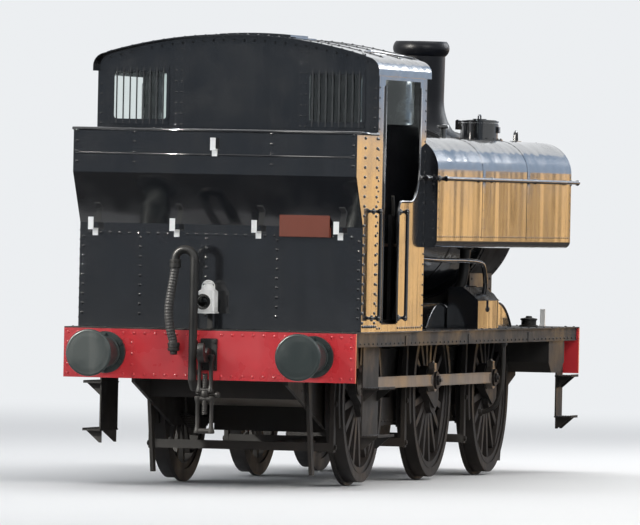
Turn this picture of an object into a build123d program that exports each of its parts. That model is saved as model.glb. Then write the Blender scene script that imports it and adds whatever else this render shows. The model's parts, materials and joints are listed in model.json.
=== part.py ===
from build123d import *
from math import asin, cos, degrees, radians, sin, sqrt
import os

# Six-coupled pannier tank locomotive, in millimetres. X runs forward, Y to the engine's
# left and Z up. The origin is under the middle of the engine, at the lowest point of the
# wheel flanges.

# Wheels and axles
wheel_diameter = 1410
flange_height = 29
flange_width = 32
tyre_width = 140
tyre_depth = 75
back_to_back = 1360
spoke_count = 16
hub_radius = 165
hub_back = 12
axle_radius = 95
crank_throw = 290
crank_boss_radius = 120
crank_boss_reach = 30
crank_pin_radius = 52
right_crank_angle = 24
left_crank_angle = right_crank_angle + 90
inside_throw = 305
rear_overhang = 1930
rear_wheelbase = 2515
front_wheelbase = 2210
front_overhang = 1755

# Frames, beams and running plate
frame_inside = 1256
frame_thickness = 26
beam_thickness = 32
beam_width = 2440
beam_depth = 400
plate_height = 1257
plate_thickness = 10
plate_width = 2438
valance_depth = 110
valance_thickness = 12

# Buffers and draw gear
buffer_height = 1054
buffer_spacing = 1740
buffer_length = 545
buffer_head_radius = 190

# Boiler, firebox and smokebox
boiler_height = 2224
boiler_radius = 720
firebox_width = 1504
firebox_top = 2950
backhead_x = -2204
throat_x = -574
ashpan_rear_x = -2120
ashpan_front_x = -640
smokebox_radius = 755
smokebox_wall = 14
smokebox_plate = 22
smokebox_rear_x = 2546
smokebox_front_x = 3646
chimney_top = 3738
chimney_x = 3060

# Side tanks
tank_width = 2590
tank_bottom = 1950
tank_top = 2870
tank_corner = 270
tank_inner_edge = 520
tank_boiler_gap = 20

# Cab and bunker
cab_width = 2372
sheet = 8
cab_front_x = -1728
cab_back_x = -3424
bunker_back_x = -3895
bunker_top_back_x = -4155
bunker_top = 2880
roof_apex = 3660
roof_back_x = -3524
roof_front_x = -1650

# Clearances
running_gap = 1
rod_gap = 8
wheel_gap = 30

# Worked out from the sizes above
rail = flange_height
wheel_radius = wheel_diameter / 2
flange_radius = wheel_radius + flange_height
axle_z = rail + wheel_radius
beam_to_beam = rear_overhang + rear_wheelbase + front_wheelbase + front_overhang
front_face_x = beam_to_beam / 2
rear_face_x = -front_face_x
trailing_x = rear_face_x + rear_overhang
driving_x = trailing_x + rear_wheelbase
leading_x = driving_x + front_wheelbase
wheel_back = back_to_back / 2
wheel_face = wheel_back + tyre_width
crank_face = wheel_face + crank_boss_reach
frame_in = frame_inside / 2
frame_out = frame_in + frame_thickness
plate_z = rail + plate_height
plate_under = plate_z - plate_thickness
boiler_z = rail + boiler_height
cab_out = cab_width / 2
cab_in = cab_out - sheet

os.makedirs("parts", exist_ok=True)


def across(y):
    """A sketch plane facing the engine's right, at the given distance to the left.
    Its own axes are the engine's X and Z."""
    return Plane.XZ.offset(-y)


# Main frames: two deep plates with a window for each axlebox
axlebox_width = 300
axlebox_height = 360
axlebox_inner = 545
horn_travel = 20
horn_stay = 60
frame_bottom = axle_z - axlebox_height / 2 - horn_travel - horn_stay
frame_end_depth = 430
frame_slot_height = 170
frame_slot_z = axle_z + 60
frame_rise_rear = 600
frame_rise_front = 480
rear_slot_length = 900
front_slot_length = 700
axles = {"trailing": trailing_x, "driving": driving_x, "leading": leading_x}
frame_rear_x = rear_face_x + beam_thickness
frame_front_x = front_face_x - beam_thickness

with BuildPart() as main_frames:
    for side in (1, -1):
        with BuildSketch(across(side * (frame_in + frame_thickness / 2))):
            with BuildLine():
                Polyline(
                    (frame_rear_x, plate_under),
                    (frame_rear_x, plate_under - frame_end_depth),
                    (trailing_x - frame_rise_rear, frame_bottom),
                    (leading_x + frame_rise_front, frame_bottom),
                    (frame_front_x, plate_under - frame_end_depth),
                    (frame_front_x, plate_under),
                    close=True,
                )
            make_face()
            for axle_x in axles.values():
                with Locations((axle_x, axle_z)):
                    Rectangle(
                        axlebox_width,
                        axlebox_height + 2 * horn_travel,
                        mode=Mode.SUBTRACT,
                    )
            for middle, length in (
                ((trailing_x + driving_x) / 2, rear_slot_length),
                ((driving_x + leading_x) / 2, front_slot_length),
            ):
                with Locations((middle, frame_slot_z)):
                    SlotOverall(length, frame_slot_height, mode=Mode.SUBTRACT)
        extrude(amount=frame_thickness / 2, both=True)
main_frames.part.label = "main_frames"
export_step(main_frames.part, "parts/main_frames.step")

# Axleboxes: one in each frame window, bored for its axle
with BuildPart() as axleboxes:
    for side in (1, -1):
        for axle_x in axles.values():
            with Locations((axle_x, side * (axlebox_inner + frame_out) / 2, axle_z)):
                Box(axlebox_width, frame_out - axlebox_inner, axlebox_height)
            with Locations(
                Location((axle_x, side * (axlebox_inner + frame_out) / 2, axle_z), (90, 0, 0))
            ):
                Cylinder(
                    axle_radius + running_gap,
                    frame_out - axlebox_inner,
                    mode=Mode.SUBTRACT,
                )
axleboxes.part.label = "axleboxes"
export_step(axleboxes.part, "parts/axleboxes.step")

# Leaf springs hung under the axleboxes, inside the frames
leaf_count = 7
leaf_thickness = 13
leaf_width = 76
spring_half_length = 440
spring_curve = 2600
spring_gap = 8
spring_y = frame_in - spring_gap - leaf_width / 2
leaf_shortening = 0.11
spring_seat = 20
buckle_lip = 8
buckle_cap = 12
hanger_inset = 25
bracket_height = 40
bracket_overlap = 30
buckle_width = 90
spring_top = axle_z - axlebox_height / 2
hanger_radius = 14
hanger_top = axle_z + 60
hanger_bracket = 70

with BuildPart() as leaf_springs:
    for side in (1, -1):
        for axle_x in axles.values():
            for leaf in range(leaf_count):
                half_angle = degrees(
                    asin(spring_half_length * (1 - leaf_shortening * leaf) / spring_curve)
                )
                outer = spring_curve + leaf_thickness * (leaf + 1)
                inner = outer - leaf_thickness
                centre = (axle_x, spring_top + spring_curve - spring_seat)
                with BuildSketch(across(side * spring_y)):
                    with BuildLine():
                        top = CenterArc(centre, inner, -90 - half_angle, 2 * half_angle)
                        base = CenterArc(centre, outer, -90 - half_angle, 2 * half_angle)
                        Line(top @ 0, base @ 0)
                        Line(top @ 1, base @ 1)
                    make_face()
                extrude(amount=leaf_width / 2, both=True)
            buckle_height = spring_seat + leaf_count * leaf_thickness + buckle_cap
            with Locations((axle_x, side * spring_y, spring_top - buckle_height / 2)):
                Box(buckle_width, leaf_width + buckle_lip, buckle_height)
            end_rise = spring_curve - sqrt(spring_curve**2 - spring_half_length**2)
            hanger_low = spring_top - spring_seat + end_rise - leaf_thickness * 3
            for end in (1, -1):
                hanger_x = axle_x + end * (spring_half_length - hanger_inset)
                with Locations(
                    (hanger_x, side * spring_y, (hanger_low + hanger_top) / 2)
                ):
                    Cylinder(hanger_radius, hanger_top - hanger_low)
                bracket_in = spring_y - bracket_overlap
                with Locations(
                    (hanger_x, side * (bracket_in + frame_in) / 2, hanger_top + bracket_height / 2)
                ):
                    Box(hanger_bracket, frame_in - bracket_in, bracket_height)
leaf_springs.part.label = "leaf_springs"
export_step(leaf_springs.part, "parts/leaf_springs.step")

# Running plate: side platforms joined at both ends, with a slot for every wheel
splasher_wall = 6
splasher_radius = flange_radius + wheel_gap
splasher_inner_gap = 14
splasher_outer_gap = 46
splasher_in = wheel_back - splasher_inner_gap
splasher_out = wheel_face + splasher_outer_gap
valance_inset = 20
slot_half = sqrt(splasher_radius**2 - (plate_z - axle_z) ** 2)
well_rear_x = backhead_x - 10
well_front_x = 2480
well_half = frame_in - 6

with BuildPart() as running_plate:
    with Locations((0, 0, plate_z - plate_thickness / 2)):
        Box(beam_to_beam, plate_width, plate_thickness)
    with Locations(
        ((well_rear_x + well_front_x) / 2, 0, plate_z - plate_thickness / 2)
    ):
        Box(
            well_front_x - well_rear_x,
            2 * well_half,
            plate_thickness,
            mode=Mode.SUBTRACT,
        )
    for side in (1, -1):
        for axle_x in axles.values():
            with Locations(
                (axle_x, side * (splasher_in + splasher_out) / 2, plate_z - plate_thickness / 2)
            ):
                Box(
                    2 * slot_half,
                    splasher_out - splasher_in,
                    plate_thickness,
                    mode=Mode.SUBTRACT,
                )
        with Locations(
            (
                0,
                side * (plate_width / 2 - valance_inset - valance_thickness / 2),
                plate_under - valance_depth / 2,
            )
        ):
            Box(beam_to_beam - 2 * beam_thickness, valance_thickness, valance_depth)
running_plate.part.label = "running_plate"
export_step(running_plate.part, "parts/running_plate.step")

# Splashers: closed arches over the wheel tops
with BuildPart() as splashers:
    for side in (1, -1):
        for axle_x in axles.values():
            for radius, low, high, mode in (
                (splasher_radius + splasher_wall, splasher_in - splasher_wall,
                 splasher_out + splasher_wall, Mode.ADD),
                (splasher_radius, splasher_in, splasher_out, Mode.SUBTRACT),
            ):
                with BuildSketch(across(side * (low + high) / 2)):
                    with Locations((axle_x, axle_z)):
                        Circle(radius)
                    with Locations((axle_x, plate_z - radius)):
                        Rectangle(2 * radius, 2 * radius, mode=Mode.SUBTRACT)
                extrude(amount=(high - low) / 2, both=True, mode=mode)
splashers.part.label = "splashers"
export_step(splashers.part, "parts/splashers.step")

# Buffer beams
beam_top = plate_under
ends = ((rear_face_x, -1), (front_face_x, 1))
with BuildPart() as buffer_beams:
    for face_x, end in ends:
        with Locations((face_x - end * beam_thickness / 2, 0, beam_top - beam_depth / 2)):
            Box(beam_thickness, beam_width, beam_depth)
buffer_beams.part.label = "buffer_beams"
export_step(buffer_beams.part, "parts/buffer_beams.step")

# Frame stretchers: plates between the frames, the last one with a window for each
# connecting rod and the slide bars bolted to its face
stretcher_thickness = 20
cylinder_y = 300
slide_rear_x = 1740
slide_z = 970
slide_gap = 110
slide_bar_width = 90
slide_bar_depth = 40
stretchers = (
    # rear face along the engine, top and bottom above the frames' lower edge, windows as
    # place across, height above the frames' lower edge, width and height
    (frame_rear_x + 500, 690, 250, ((0, 470, 756, 150),)),
    (ashpan_front_x + 230, 420, 120, ((0, 270, 756, 100),)),
    (
        slide_rear_x - stretcher_thickness,
        760,
        60,
        (
            (cylinder_y, slide_z - frame_bottom, slide_bar_width, slide_gap),
            (-cylinder_y, slide_z - frame_bottom, slide_bar_width, slide_gap),
        ),
    ),
)
with BuildPart() as frame_stretchers:
    for place, top, low, windows in stretchers:
        with BuildSketch(Plane.YZ.offset(place)):
            with Locations((0, frame_bottom + (top + low) / 2)):
                Rectangle(frame_inside, top - low)
            for window_y, window_z, width, height in windows:
                with Locations((window_y, frame_bottom + window_z)):
                    Rectangle(width, height, mode=Mode.SUBTRACT)
        extrude(amount=stretcher_thickness)
frame_stretchers.part.label = "frame_stretchers"
export_step(frame_stretchers.part, "parts/frame_stretchers.step")

# Buffers, turned: a flange and tapered stock, a collar, the ram and a crowned head that is
# worn flat in the middle
buffer_flange_radius = 170
buffer_flange = 28
stock_base_radius = 128
stock_end_radius = 112
stock_length = 300
collar_radius = 122
collar_length = 35
ram_radius = 82
head_thickness = 50
head_back_rise = 12
head_flat = 20
head_crown = 4
head_worn_radius = 120
buffer_z = rail + buffer_height
buffer_steps = (
    # radius, distance from the beam
    (buffer_flange_radius, 0),
    (buffer_flange_radius, buffer_flange),
    (stock_base_radius, buffer_flange),
    (stock_end_radius, stock_length),
    (collar_radius, stock_length),
    (collar_radius, stock_length + collar_length),
    (ram_radius, stock_length + collar_length),
    (ram_radius, buffer_length - head_thickness),
    (buffer_head_radius - head_flat, buffer_length - head_thickness + head_back_rise),
)
with BuildPart() as buffers:
    for face_x, end in ends:
        for side in (1, -1):
            centre_y = side * buffer_spacing / 2
            outline = [
                (face_x + end * reach, centre_y + radius) for radius, reach in buffer_steps
            ]
            rim_points = [
                (face_x + end * reach, centre_y + radius)
                for radius, reach in (
                    (buffer_head_radius - head_flat, buffer_length - head_thickness + head_back_rise),
                    (buffer_head_radius, buffer_length - head_thickness / 2),
                    (buffer_head_radius - head_flat, buffer_length - head_crown),
                )
            ]
            crown_points = [
                (face_x + end * reach, centre_y + radius)
                for radius, reach in (
                    (buffer_head_radius - head_flat, buffer_length - head_crown),
                    (
                        (buffer_head_radius - head_flat + head_worn_radius) / 2,
                        buffer_length - head_crown / 4,
                    ),
                    (head_worn_radius, buffer_length),
                )
            ]
            with BuildSketch(Plane.XY.offset(buffer_z)):
                with BuildLine():
                    Polyline((face_x, centre_y), *outline)
                    ThreePointArc(*rim_points)
                    crown = ThreePointArc(*crown_points)
                    Polyline(
                        crown @ 1, (face_x + end * buffer_length, centre_y), (face_x, centre_y)
                    )
                make_face()
            revolve(axis=Axis((0, centre_y, buffer_z), (1, 0, 0)))
buffers.part.label = "buffers"
export_step(buffers.part, "parts/buffers.step")

# Drawhooks with their screw couplings hanging down
hook_thickness = 52
hook_plate = 20
hook_plate_width = 140
hook_plate_height = 260
link_radius = 17
link_drop = 300
upper_link_half = 48
lower_link_half = 58
link_pin_radius = 22
link_pin_end = 4
screw_radius = 26
screw_length = 330
screw_handle_radius = 9
screw_handle_length = 220
coupling_x = 115
coupling_top_z = buffer_z - 18
hook_shank = 45
hook_shank_length = 80
hook_curve = (
    # reach from the beam, height above the buffer centres
    (150, -58),
    (230, -56),
    (286, -18),
    (305, 45),
    (270, 95),
    (242, 62),
    (232, 22),
    (198, 4),
    (158, 26),
    (120, 44),
)
link_joint_drop = 30
lower_joint_drop = 40
handle_shift = 30
with BuildPart() as couplings:
    for face_x, end in ends:
        with Locations((face_x + end * hook_plate / 2, 0, buffer_z)):
            Box(hook_plate, hook_plate_width, hook_plate_height)
        with BuildSketch(across(0)):
            with BuildLine():
                below = Line(
                    (face_x, buffer_z - hook_shank),
                    (face_x + end * hook_shank_length, buffer_z - hook_shank),
                )
                hook_line = Spline(
                    below @ 1,
                    *[(face_x + end * reach, buffer_z + rise) for reach, rise in hook_curve],
                    (face_x + end * hook_shank_length, buffer_z + hook_shank),
                    tangents=((end, 0), (-end, 0)),
                )
                above = Line(hook_line @ 1, (face_x, buffer_z + hook_shank))
                Line(above @ 1, below @ 0)
            make_face()
        extrude(amount=hook_thickness / 2, both=True)
        pivot_x = face_x + end * coupling_x
        for half, top in ((upper_link_half, 0), (lower_link_half, link_drop)):
            for side in (1, -1):
                with Locations((pivot_x, side * half, coupling_top_z - top - link_drop / 2)):
                    Cylinder(link_radius, link_drop)
        for half, drop in (
            (upper_link_half, 0),
            (upper_link_half, link_drop - link_joint_drop),
            (lower_link_half, link_drop + lower_joint_drop),
            (lower_link_half, 2 * link_drop),
        ):
            with Locations(Location((pivot_x, 0, coupling_top_z - drop), (90, 0, 0))):
                Cylinder(link_pin_radius, 2 * (half + link_radius + link_pin_end))
        with Locations((pivot_x, 0, coupling_top_z - link_drop)):
            Cylinder(screw_radius, screw_length)
        with Locations(
            Location((pivot_x, -handle_shift, coupling_top_z - link_drop), (90, 0, 0))
        ):
            Cylinder(screw_handle_radius, screw_handle_length)
couplings.part.label = "couplings"
export_step(couplings.part, "parts/couplings.step")

# Vacuum pipes: a standpipe up from each beam, bent over at the top to meet its hose
pipe_places = (
    # beam face, outward direction, place across, way the neck turns, height of the neck,
    # lower end of the hose below the beam's top
    (rear_face_x, -1, 115, 1, 1935, 170),
    (front_face_x, 1, -260, -1, 1560, 301),
)
pipe_radius = 34
pipe_stand = 90
pipe_run_in = 260
pipe_below_beam = 60
pipe_bend = 60
clip_width = 40
clip_height = 46
clip_top_drop = 110
clip_low_rise = 60
hose_plug = 44
cuff_wall = 10
neck_radius = 80
hose_radius = 38
with BuildPart() as vacuum_pipes:
    for face_x, end, pipe_y, way, neck_height, _ in pipe_places:
        stand_x = face_x + end * pipe_stand
        neck_z = rail + neck_height - neck_radius - pipe_radius
        low_z = beam_top - beam_depth - pipe_below_beam
        with BuildLine():
            pipe_path = Polyline(
                (face_x - end * pipe_run_in, pipe_y, low_z),
                (stand_x - end * pipe_bend, pipe_y, low_z),
                (stand_x, pipe_y, low_z + pipe_bend),
                (stand_x, pipe_y, neck_z),
            )
        with BuildSketch(Plane(pipe_path @ 0, z_dir=pipe_path % 0)):
            Circle(pipe_radius)
        sweep(transition=Transition.ROUND)
        with BuildSketch(Plane.XY.offset(neck_z)):
            with Locations((stand_x, pipe_y)):
                Circle(pipe_radius)
        revolve(
            axis=Axis((stand_x, pipe_y + way * neck_radius, neck_z), (-way, 0, 0)),
            revolution_arc=180,
        )
        for clip_z in (beam_top - clip_top_drop, beam_top - beam_depth + clip_low_rise):
            with Locations(((face_x + stand_x) / 2, pipe_y, clip_z)):
                Box(pipe_stand, clip_width, clip_height)
vacuum_pipes.part.label = "vacuum_pipes"
export_step(vacuum_pipes.part, "parts/vacuum_pipes.step")

# Vacuum hoses, hung from the necks to plugs on the beams
hose_cuff = 70
with BuildPart() as vacuum_hoses:
    for face_x, end, pipe_y, way, neck_height, hose_drop in pipe_places:
        stand_x = face_x + end * pipe_stand
        neck_z = rail + neck_height - neck_radius - pipe_radius
        hose_low_z = beam_top - hose_drop
        hose_y = pipe_y + way * 2 * neck_radius
        with Locations((stand_x, hose_y, (neck_z + hose_low_z) / 2)):
            Cylinder(hose_radius, neck_z - hose_low_z)
        for cuff_z in (neck_z - hose_cuff / 2, hose_low_z + hose_cuff / 2):
            with Locations((stand_x, hose_y, cuff_z)):
                Cylinder(hose_radius + cuff_wall, hose_cuff)
        with Locations(((face_x + stand_x) / 2, hose_y, hose_low_z + hose_cuff / 2)):
            Box(pipe_stand, hose_plug, hose_plug)
vacuum_hoses.part.label = "vacuum_hoses"
export_step(vacuum_hoses.part, "parts/vacuum_hoses.step")

# Wheels: spoked, with tyre, flange, crank boss and pin, two to each axle
rod_thickness = 50
rod_in = crank_face + rod_gap
rod_out = rod_in + rod_thickness
collar_gap = 4
collar_width = 18
collar_lip = 22
collar_in = rod_out + collar_gap
collar_out = collar_in + collar_width
rim_depth = 48
rim_inset = 12
rim_radius = wheel_radius - tyre_depth - rim_depth
hub_front = 12
spoke_root = 68
spoke_end = 48
spoke_depth = 68
spoke_sink = 20
spoke_bite = 8
crank_angles = {1: left_crank_angle, -1: right_crank_angle}
pin_offsets = {
    side: (-crank_throw * cos(radians(angle)), crank_throw * sin(radians(angle)))
    for side, angle in crank_angles.items()
}
weight_half_angle = 34
weight_bite = 6
weight_outer = rim_radius + weight_bite
weight_depth = 36
boss_sink = 40

for axle_name, axle_x in axles.items():
    with BuildPart() as wheels:
        for side in (1, -1):
            pin_x, pin_z = pin_offsets[side]
            spoke_y = side * (wheel_back + tyre_width / 2)
            # Each disc or ring: outer radius, inner radius, near and far face from the middle
            for outer, inner, near, far in (
                (wheel_radius, wheel_radius - tyre_depth, wheel_back, wheel_face),
                (flange_radius, wheel_radius - tyre_depth, wheel_back, wheel_back + flange_width),
                (
                    wheel_radius - tyre_depth,
                    rim_radius,
                    wheel_back + rim_inset,
                    wheel_face - rim_inset,
                ),
            ):
                with BuildSketch(across(side * (near + far) / 2)):
                    with Locations((axle_x, axle_z)):
                        Circle(outer)
                        Circle(inner, mode=Mode.SUBTRACT)
                extrude(amount=(far - near) / 2, both=True)
            with Locations(
                Location(
                    (axle_x, side * (wheel_back - hub_back + wheel_face + hub_front) / 2, axle_z),
                    (90, 0, 0),
                )
            ):
                Cylinder(hub_radius, wheel_face + hub_front - wheel_back + hub_back)
            for spoke in range(spoke_count):
                turn = radians((spoke + 0.5) * 360 / spoke_count - crank_angles[side])
                corners = (
                    (hub_radius - spoke_sink, -spoke_root / 2),
                    (hub_radius - spoke_sink, spoke_root / 2),
                    (rim_radius + spoke_bite, spoke_end / 2),
                    (rim_radius + spoke_bite, -spoke_end / 2),
                )
                with BuildSketch(across(spoke_y)):
                    with BuildLine():
                        Polyline(
                            *[
                                (
                                    axle_x + out * cos(turn) - aside * sin(turn),
                                    axle_z + out * sin(turn) + aside * cos(turn),
                                )
                                for out, aside in corners
                            ],
                            close=True,
                        )
                    make_face()
                extrude(amount=spoke_depth / 2, both=True)
            weight_points = [
                (
                    axle_x + weight_outer * cos(radians(weight_turn - crank_angles[side])),
                    axle_z + weight_outer * sin(radians(weight_turn - crank_angles[side])),
                )
                for weight_turn in (-weight_half_angle, 0, weight_half_angle)
            ]
            with BuildSketch(across(side * (wheel_face - boss_sink))):
                with BuildLine():
                    weight_edge = ThreePointArc(*weight_points)
                    Line(weight_edge @ 0, weight_edge @ 1)
                make_face()
            extrude(amount=weight_depth / 2, both=True)
            with BuildSketch(across(side * (wheel_face - boss_sink + crank_face) / 2)):
                with Locations((axle_x, axle_z), (axle_x + pin_x, axle_z + pin_z)):
                    Circle(crank_boss_radius)
                make_hull()
            extrude(amount=(crank_face - wheel_face + boss_sink) / 2, both=True)
            for near, far, radius in (
                (crank_face - boss_sink, collar_out, crank_pin_radius),
                (collar_in, collar_out, crank_pin_radius + collar_lip),
            ):
                with Locations(
                    Location(
                        (axle_x + pin_x, side * (near + far) / 2, axle_z + pin_z), (90, 0, 0)
                    )
                ):
                    Cylinder(radius, far - near)
    wheels.part.label = f"{axle_name}_wheels"
    export_step(wheels.part, f"parts/{axle_name}_wheels.step")

# Axles: plain between the hubs, with cranks and eccentrics on the driving one
inside_crank_y = 330
web_offset = 95
web_thickness = 80
web_wall = 20
inside_crank_angles = {1: right_crank_angle, -1: right_crank_angle - 90}
for axle_name, axle_x in axles.items():
    with BuildPart() as axle:
        with Locations(Location((axle_x, 0, axle_z), (90, 0, 0))):
            Cylinder(axle_radius, 2 * (wheel_back - hub_back))
        if axle_name == "driving":
            for side in (1, -1):
                angle = radians(180 - inside_crank_angles[side])
                pin_x = inside_throw * cos(angle)
                pin_z = inside_throw * sin(angle)
                for web_y in (inside_crank_y - web_offset, inside_crank_y + web_offset):
                    with BuildSketch(across(side * web_y)):
                        with Locations(
                            (axle_x, axle_z), (axle_x + pin_x, axle_z + pin_z)
                        ):
                            Circle(axle_radius + web_wall)
                        make_hull()
                    extrude(amount=web_thickness / 2, both=True)
                with Locations(
                    Location(
                        (axle_x + pin_x, side * inside_crank_y, axle_z + pin_z), (90, 0, 0)
                    )
                ):
                    Cylinder(axle_radius, 2 * web_offset)
    axle.part.label = f"{axle_name}_axle"
    export_step(axle.part, f"parts/{axle_name}_axle.step")

# Coupling rods: one beam down each side with an eye for every crank pin
rod_depth = 94
eye_radius = 98
eye_gap = 2
oil_cup_rise = 16
oil_cup_width = 70
oil_cup_height = 60
for name, side in (("coupling_rod_left", 1), ("coupling_rod_right", -1)):
    pin_x, pin_z = pin_offsets[side]
    rod_z = axle_z + pin_z
    with BuildPart() as coupling_rod:
        with BuildSketch(across(side * (rod_in + rod_out) / 2)):
            with Locations(((trailing_x + leading_x) / 2 + pin_x, rod_z)):
                Rectangle(leading_x - trailing_x, rod_depth)
            for axle_x in axles.values():
                with Locations((axle_x + pin_x, rod_z)):
                    Circle(eye_radius)
                with Locations((axle_x + pin_x, rod_z + eye_radius + oil_cup_rise)):
                    Rectangle(oil_cup_width, oil_cup_height)
            for axle_x, gap in (
                (trailing_x, eye_gap),
                (driving_x, running_gap),
                (leading_x, eye_gap),
            ):
                with Locations((axle_x + pin_x, rod_z)):
                    Circle(crank_pin_radius + gap, mode=Mode.SUBTRACT)
        extrude(amount=rod_thickness / 2, both=True)
    coupling_rod.part.label = name
    export_step(coupling_rod.part, f"parts/{name}.step")

# Brake gear: hangers and shoes behind every wheel, joined by cross beams and a pull rod
shoe_gap = 7
shoe_depth = 58
shoe_half_angle = 15
shoe_middle_angle = 184
shoe_in = wheel_back + flange_width + 12
shoe_out = wheel_face - 14
brake_hanger_x = 90
hanger_low_half = 34
hanger_high_rear = 10
hanger_high_front = 62
hanger_low_drop = 40
hanger_high_rise = 40
hanger_thickness = 36
hanger_pin_x = 36
hanger_pin_radius = 24
brake_beam_depth = 60
brake_beam_height = 70
pull_rod_radius = 20
hanger_y = (shoe_in + shoe_out) / 2
brake_beam_z = 330
hanger_top_z = 1165
with BuildPart() as brake_gear:
    for axle_x in axles.values():
        beam_x = axle_x - wheel_radius - brake_hanger_x
        for side in (1, -1):
            with BuildSketch(across(side * hanger_y)):
                with BuildLine():
                    face = CenterArc(
                        (axle_x, axle_z),
                        wheel_radius + shoe_gap,
                        shoe_middle_angle - shoe_half_angle,
                        2 * shoe_half_angle,
                    )
                    back = CenterArc(
                        (axle_x, axle_z),
                        wheel_radius + shoe_gap + shoe_depth,
                        shoe_middle_angle - shoe_half_angle,
                        2 * shoe_half_angle,
                    )
                    Line(face @ 0, back @ 0)
                    Line(face @ 1, back @ 1)
                make_face()
            extrude(amount=(shoe_out - shoe_in) / 2, both=True)
            with BuildSketch(across(side * hanger_y)):
                with BuildLine():
                    Polyline(
                        (beam_x - hanger_low_half, brake_beam_z - hanger_low_drop),
                        (beam_x - hanger_low_half, axle_z),
                        (beam_x + hanger_high_rear, hanger_top_z + hanger_high_rise),
                        (beam_x + hanger_high_front, hanger_top_z + hanger_high_rise),
                        (beam_x + hanger_low_half, axle_z),
                        (beam_x + hanger_low_half, brake_beam_z - hanger_low_drop),
                        close=True,
                    )
                make_face()
            extrude(amount=hanger_thickness / 2, both=True)
            with Locations(
                Location(
                    (beam_x + hanger_pin_x, side * (frame_out + hanger_y) / 2, hanger_top_z),
                    (90, 0, 0),
                )
            ):
                Cylinder(hanger_pin_radius, hanger_y - frame_out)
        with Locations((beam_x, 0, brake_beam_z)):
            Box(brake_beam_depth, 2 * hanger_y + hanger_thickness, brake_beam_height)
    pull_rear_x = trailing_x - wheel_radius - brake_hanger_x
    pull_front_x = leading_x - wheel_radius - brake_hanger_x
    with Locations(
        Location(((pull_rear_x + pull_front_x) / 2, 0, brake_beam_z), (0, 90, 0))
    ):
        Cylinder(pull_rod_radius, pull_front_x - pull_rear_x)
brake_gear.part.label = "brake_gear"
export_step(brake_gear.part, "parts/brake_gear.step")

# Inside cylinders and steam chest, between the frames under the smokebox
cylinder_rear_x = 3000
cylinder_front_x = 3720
cylinder_bottom = 690
cylinder_top = 1190
cover_radius = 240
cover_depth = 50
with BuildPart() as inside_cylinders:
    with Locations(
        ((cylinder_rear_x + cylinder_front_x) / 2, 0, (cylinder_bottom + cylinder_top) / 2)
    ):
        Box(cylinder_front_x - cylinder_rear_x, frame_inside, cylinder_top - cylinder_bottom)
    for side in (1, -1):
        with Locations(
            Location((cylinder_front_x + cover_depth / 2, side * cylinder_y, slide_z), (0, 90, 0))
        ):
            Cylinder(cover_radius, cover_depth)
inside_cylinders.part.label = "inside_cylinders"
export_step(inside_cylinders.part, "parts/inside_cylinders.step")

# Slide bars, crossheads and piston rods, over the leading axle
crosshead_x = 2350
crosshead_length = 230
piston_rod_radius = 36
bar_offset = (slide_gap + slide_bar_depth) / 2
with BuildPart() as inside_motion:
    for side in (1, -1):
        for bar_z in (slide_z - bar_offset, slide_z + bar_offset):
            with Locations(((slide_rear_x + cylinder_rear_x) / 2, side * cylinder_y, bar_z)):
                Box(cylinder_rear_x - slide_rear_x, slide_bar_width, slide_bar_depth)
        with Locations((crosshead_x, side * cylinder_y, slide_z)):
            Box(crosshead_length, slide_gap, slide_gap)
        with Locations(
            Location(((crosshead_x + cylinder_rear_x) / 2, side * cylinder_y, slide_z), (0, 90, 0))
        ):
            Cylinder(piston_rod_radius, cylinder_rear_x - crosshead_x)
inside_motion.part.label = "inside_motion"
export_step(inside_motion.part, "parts/inside_motion.step")

# Boiler barrel, clad and closed, with the tube plate that carries the smokebox
with BuildPart() as boiler_barrel:
    with Locations(Location(((throat_x + smokebox_rear_x) / 2, 0, boiler_z), (0, 90, 0))):
        Cylinder(boiler_radius, smokebox_rear_x - throat_x)
    with Locations(Location((smokebox_rear_x + smokebox_plate / 2, 0, boiler_z), (0, 90, 0))):
        Cylinder(smokebox_radius, smokebox_plate)
boiler_barrel.part.label = "boiler_barrel"
export_step(boiler_barrel.part, "parts/boiler_barrel.step")

# Belpaire firebox: wide above the wheels, narrow between the frames
firebox_half = firebox_width / 2
firebox_low_half = 600
firebox_bottom = 1000
firebox_waist_low = 1560
firebox_waist_high = 1720
firebox_corner = 130
firebox_bracket_length = 220
firebox_bracket_height = 60
firebox_bracket_z = 1180
firebox_bracket_inset = (400, 300)
firebox_top_z = rail + firebox_top
firebox_outline = (
    (-firebox_low_half, firebox_bottom),
    (firebox_low_half, firebox_bottom),
    (firebox_low_half, firebox_waist_low),
    (firebox_half, firebox_waist_high),
    (firebox_half, firebox_top_z),
    (-firebox_half, firebox_top_z),
    (-firebox_half, firebox_waist_high),
    (-firebox_low_half, firebox_waist_low),
)
with BuildPart() as firebox:
    with BuildSketch(Plane.YZ.offset(backhead_x)) as firebox_section:
        with BuildLine():
            Polyline(*firebox_outline, close=True)
        make_face()
        fillet(firebox_section.vertices().sort_by(Axis.Y)[-2:], firebox_corner)
    extrude(amount=throat_x - backhead_x)
    for side in (1, -1):
        for bracket_x in (
            backhead_x + firebox_bracket_inset[0],
            throat_x - firebox_bracket_inset[1],
        ):
            with Locations(
                (bracket_x, side * (firebox_low_half + frame_in) / 2, firebox_bracket_z)
            ):
                Box(firebox_bracket_length, frame_in - firebox_low_half, firebox_bracket_height)
firebox.part.label = "firebox"
export_step(firebox.part, "parts/firebox.step")

# Ashpan, hung under the firebox between the axles
ashpan_half = 480
ashpan_bottom = 430
with BuildPart() as ashpan:
    with Locations(
        ((ashpan_rear_x + ashpan_front_x) / 2, 0, (ashpan_bottom + firebox_bottom) / 2)
    ):
        Box(ashpan_front_x - ashpan_rear_x, 2 * ashpan_half, firebox_bottom - ashpan_bottom)
ashpan.part.label = "ashpan"
export_step(ashpan.part, "parts/ashpan.step")

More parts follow.
